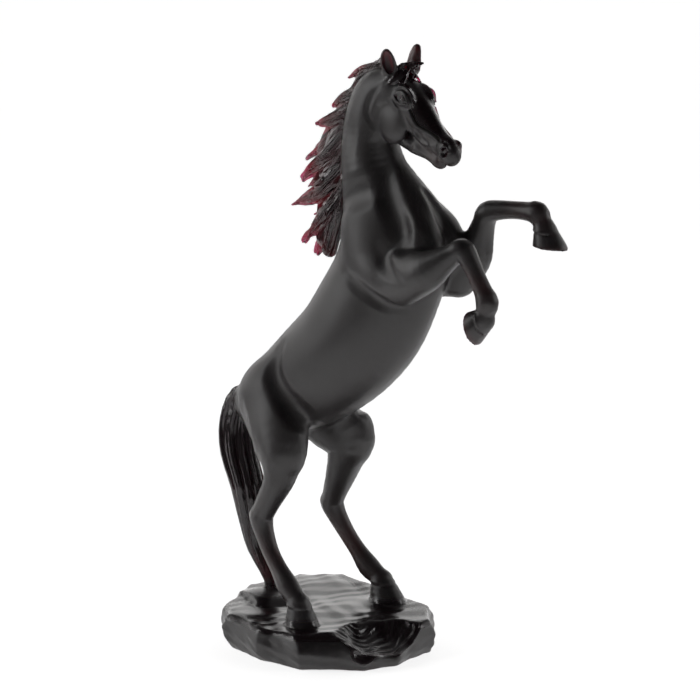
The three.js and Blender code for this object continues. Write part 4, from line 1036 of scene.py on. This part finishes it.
def floor():
    """A floor that is white under and behind the sculpture and dark away to the sides. The white part also
    glows by its own emission, as painted light.
    """
    half = FLOOR_HALF_SIZE
    corners = [(-half, -half, 0), (half, -half, 0), (half, half, 0), (-half, half, 0)]
    mesh = bpy.data.meshes.new("floor")
    mesh.from_pydata(corners, [], [(0, 1, 2, 3)])
    plate = bpy.data.objects.new("floor", mesh)
    bpy.context.scene.collection.objects.link(plate)
    plate.location.z = -FLOOR_SINK
    material = bpy.data.materials.new("pale_floor")
    material.use_nodes = True
    nodes = material.node_tree.nodes
    shader = nodes["Principled BSDF"]
    shader.inputs["Roughness"].default_value = 0.9
    shader.inputs["Emission Color"].default_value = (1, 1, 1, 1)
    place = node(nodes, "TexCoord", {})
    away = unit(np.array(CAMERA_TARGET[:2]) - np.array(CAMERA_PLACE[:2]))

    def along(direction):
        dot = node(nodes, "VectorMath", {1: (*direction, 0)}, operation="DOT_PRODUCT")
        join(place, "Object", dot, 0)
        return dot

    aside = node(nodes, "Math", {}, operation="ABSOLUTE")
    join(along((away[1], -away[0])), "Value", aside, 0)
    outside = node(nodes, "Math", {1: -FLOOR_SPREAD}, operation="MULTIPLY_ADD")
    join(along(away), "Value", outside, 0)
    join(aside, "Value", outside, 2)
    white = ease(nodes, FLOOR_HALF_WIDTH, FLOOR_HALF_WIDTH + FLOOR_FADE, 1, FLOOR_DARK)
    join(outside, "Value", white, "Value")
    # The white strip gets both its colour and a glow. The glow is painted light: the floor's own emission,
    # not light from the lamps.
    for share, socket in ((FLOOR_WHITE, "Base Color"), (FLOOR_PAINTED_GLOW, "Emission Strength")):
        part = node(nodes, "Math", {1: share}, operation="MULTIPLY")
        join(white, "Result", part, 0)
        join(part, "Value", shader, socket)
    plate.data.materials.append(material)


def studio():
    """A white backdrop, and for the reflections a room that is dark on the camera's side."""
    world = bpy.data.worlds.new("studio")
    bpy.context.scene.world = world
    world.use_nodes = True
    nodes = world.node_tree.nodes
    nodes.clear()
    output = node(nodes, "OutputWorld", {})
    white = node(nodes, "Background", {"Color": (1, 1, 1, 1), "Strength": 1.0})
    room = node(nodes, "Background", {"Color": (1, 0.99, 0.98, 1)})
    way = node(nodes, "TexCoord", {})
    towards = unit(np.array(CAMERA_PLACE) - np.array(CAMERA_TARGET))
    dot = node(nodes, "VectorMath", {1: towards}, operation="DOT_PRODUCT")
    join(way, "Generated", dot, 0)
    ramp = ease(nodes, *ROOM_SIDES, ROOM_BRIGHT, ROOM_DARK)
    join(dot, "Value", ramp, "Value")
    height = node(nodes, "SeparateXYZ", {})
    join(way, "Generated", height, "Vector")
    ceiling = ease(nodes, *ROOM_TOP, 1, ROOM_DARK)
    join(height, "Z", ceiling, "Value")
    both = node(nodes, "Math", {}, operation="MULTIPLY")
    join(ramp, "Result", both, 0)
    join(ceiling, "Result", both, 1)
    join(both, "Value", room, "Strength")
    rays = node(nodes, "LightPath", {})
    mix = node(nodes, "MixShader", {})
    join(rays, "Is Camera Ray", mix, "Fac")
    join(room, "Background", mix, 1)
    join(white, "Background", mix, 2)
    join(mix, "Shader", output, "Surface")


def soft_light(name, place, size, power):
    light = bpy.data.lights.new(name, "AREA")
    light.shape = "RECTANGLE"
    light.size, light.size_y = size
    light.energy = power
    lamp = bpy.data.objects.new(name, light)
    lamp.location = place
    lamp.rotation_euler = (Vector(place) - Vector(LIT_PLACE)).to_track_quat("Z", "Y").to_euler()
    lamp.visible_camera = False
    bpy.context.scene.collection.objects.link(lamp)


def camera():
    lens = bpy.data.cameras.new("camera")
    lens.lens = CAMERA_LENS
    lens.sensor_width = 36
    viewer = bpy.data.objects.new("camera", lens)
    back = unit(np.array(CAMERA_PLACE) - np.array(CAMERA_TARGET))
    right = unit(np.cross((0, 0, 1), back))
    up = np.cross(back, right)
    turn = Matrix([list(row) for row in np.array([right, up, back]).T]).to_4x4()
    viewer.matrix_world = Matrix.Translation(CAMERA_PLACE) @ turn
    bpy.context.scene.collection.objects.link(viewer)
    bpy.context.scene.camera = viewer


camera()
studio()
for name, (place, size, power) in SOFTBOXES.items():
    soft_light(name, place, size, power)
floor()
horse = casting()
horse.data.materials.clear()
horse.data.materials.append(crystal())
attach(horse, "root")
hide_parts("rearing_horse")
bpy.context.scene.view_settings.view_transform = "Standard"
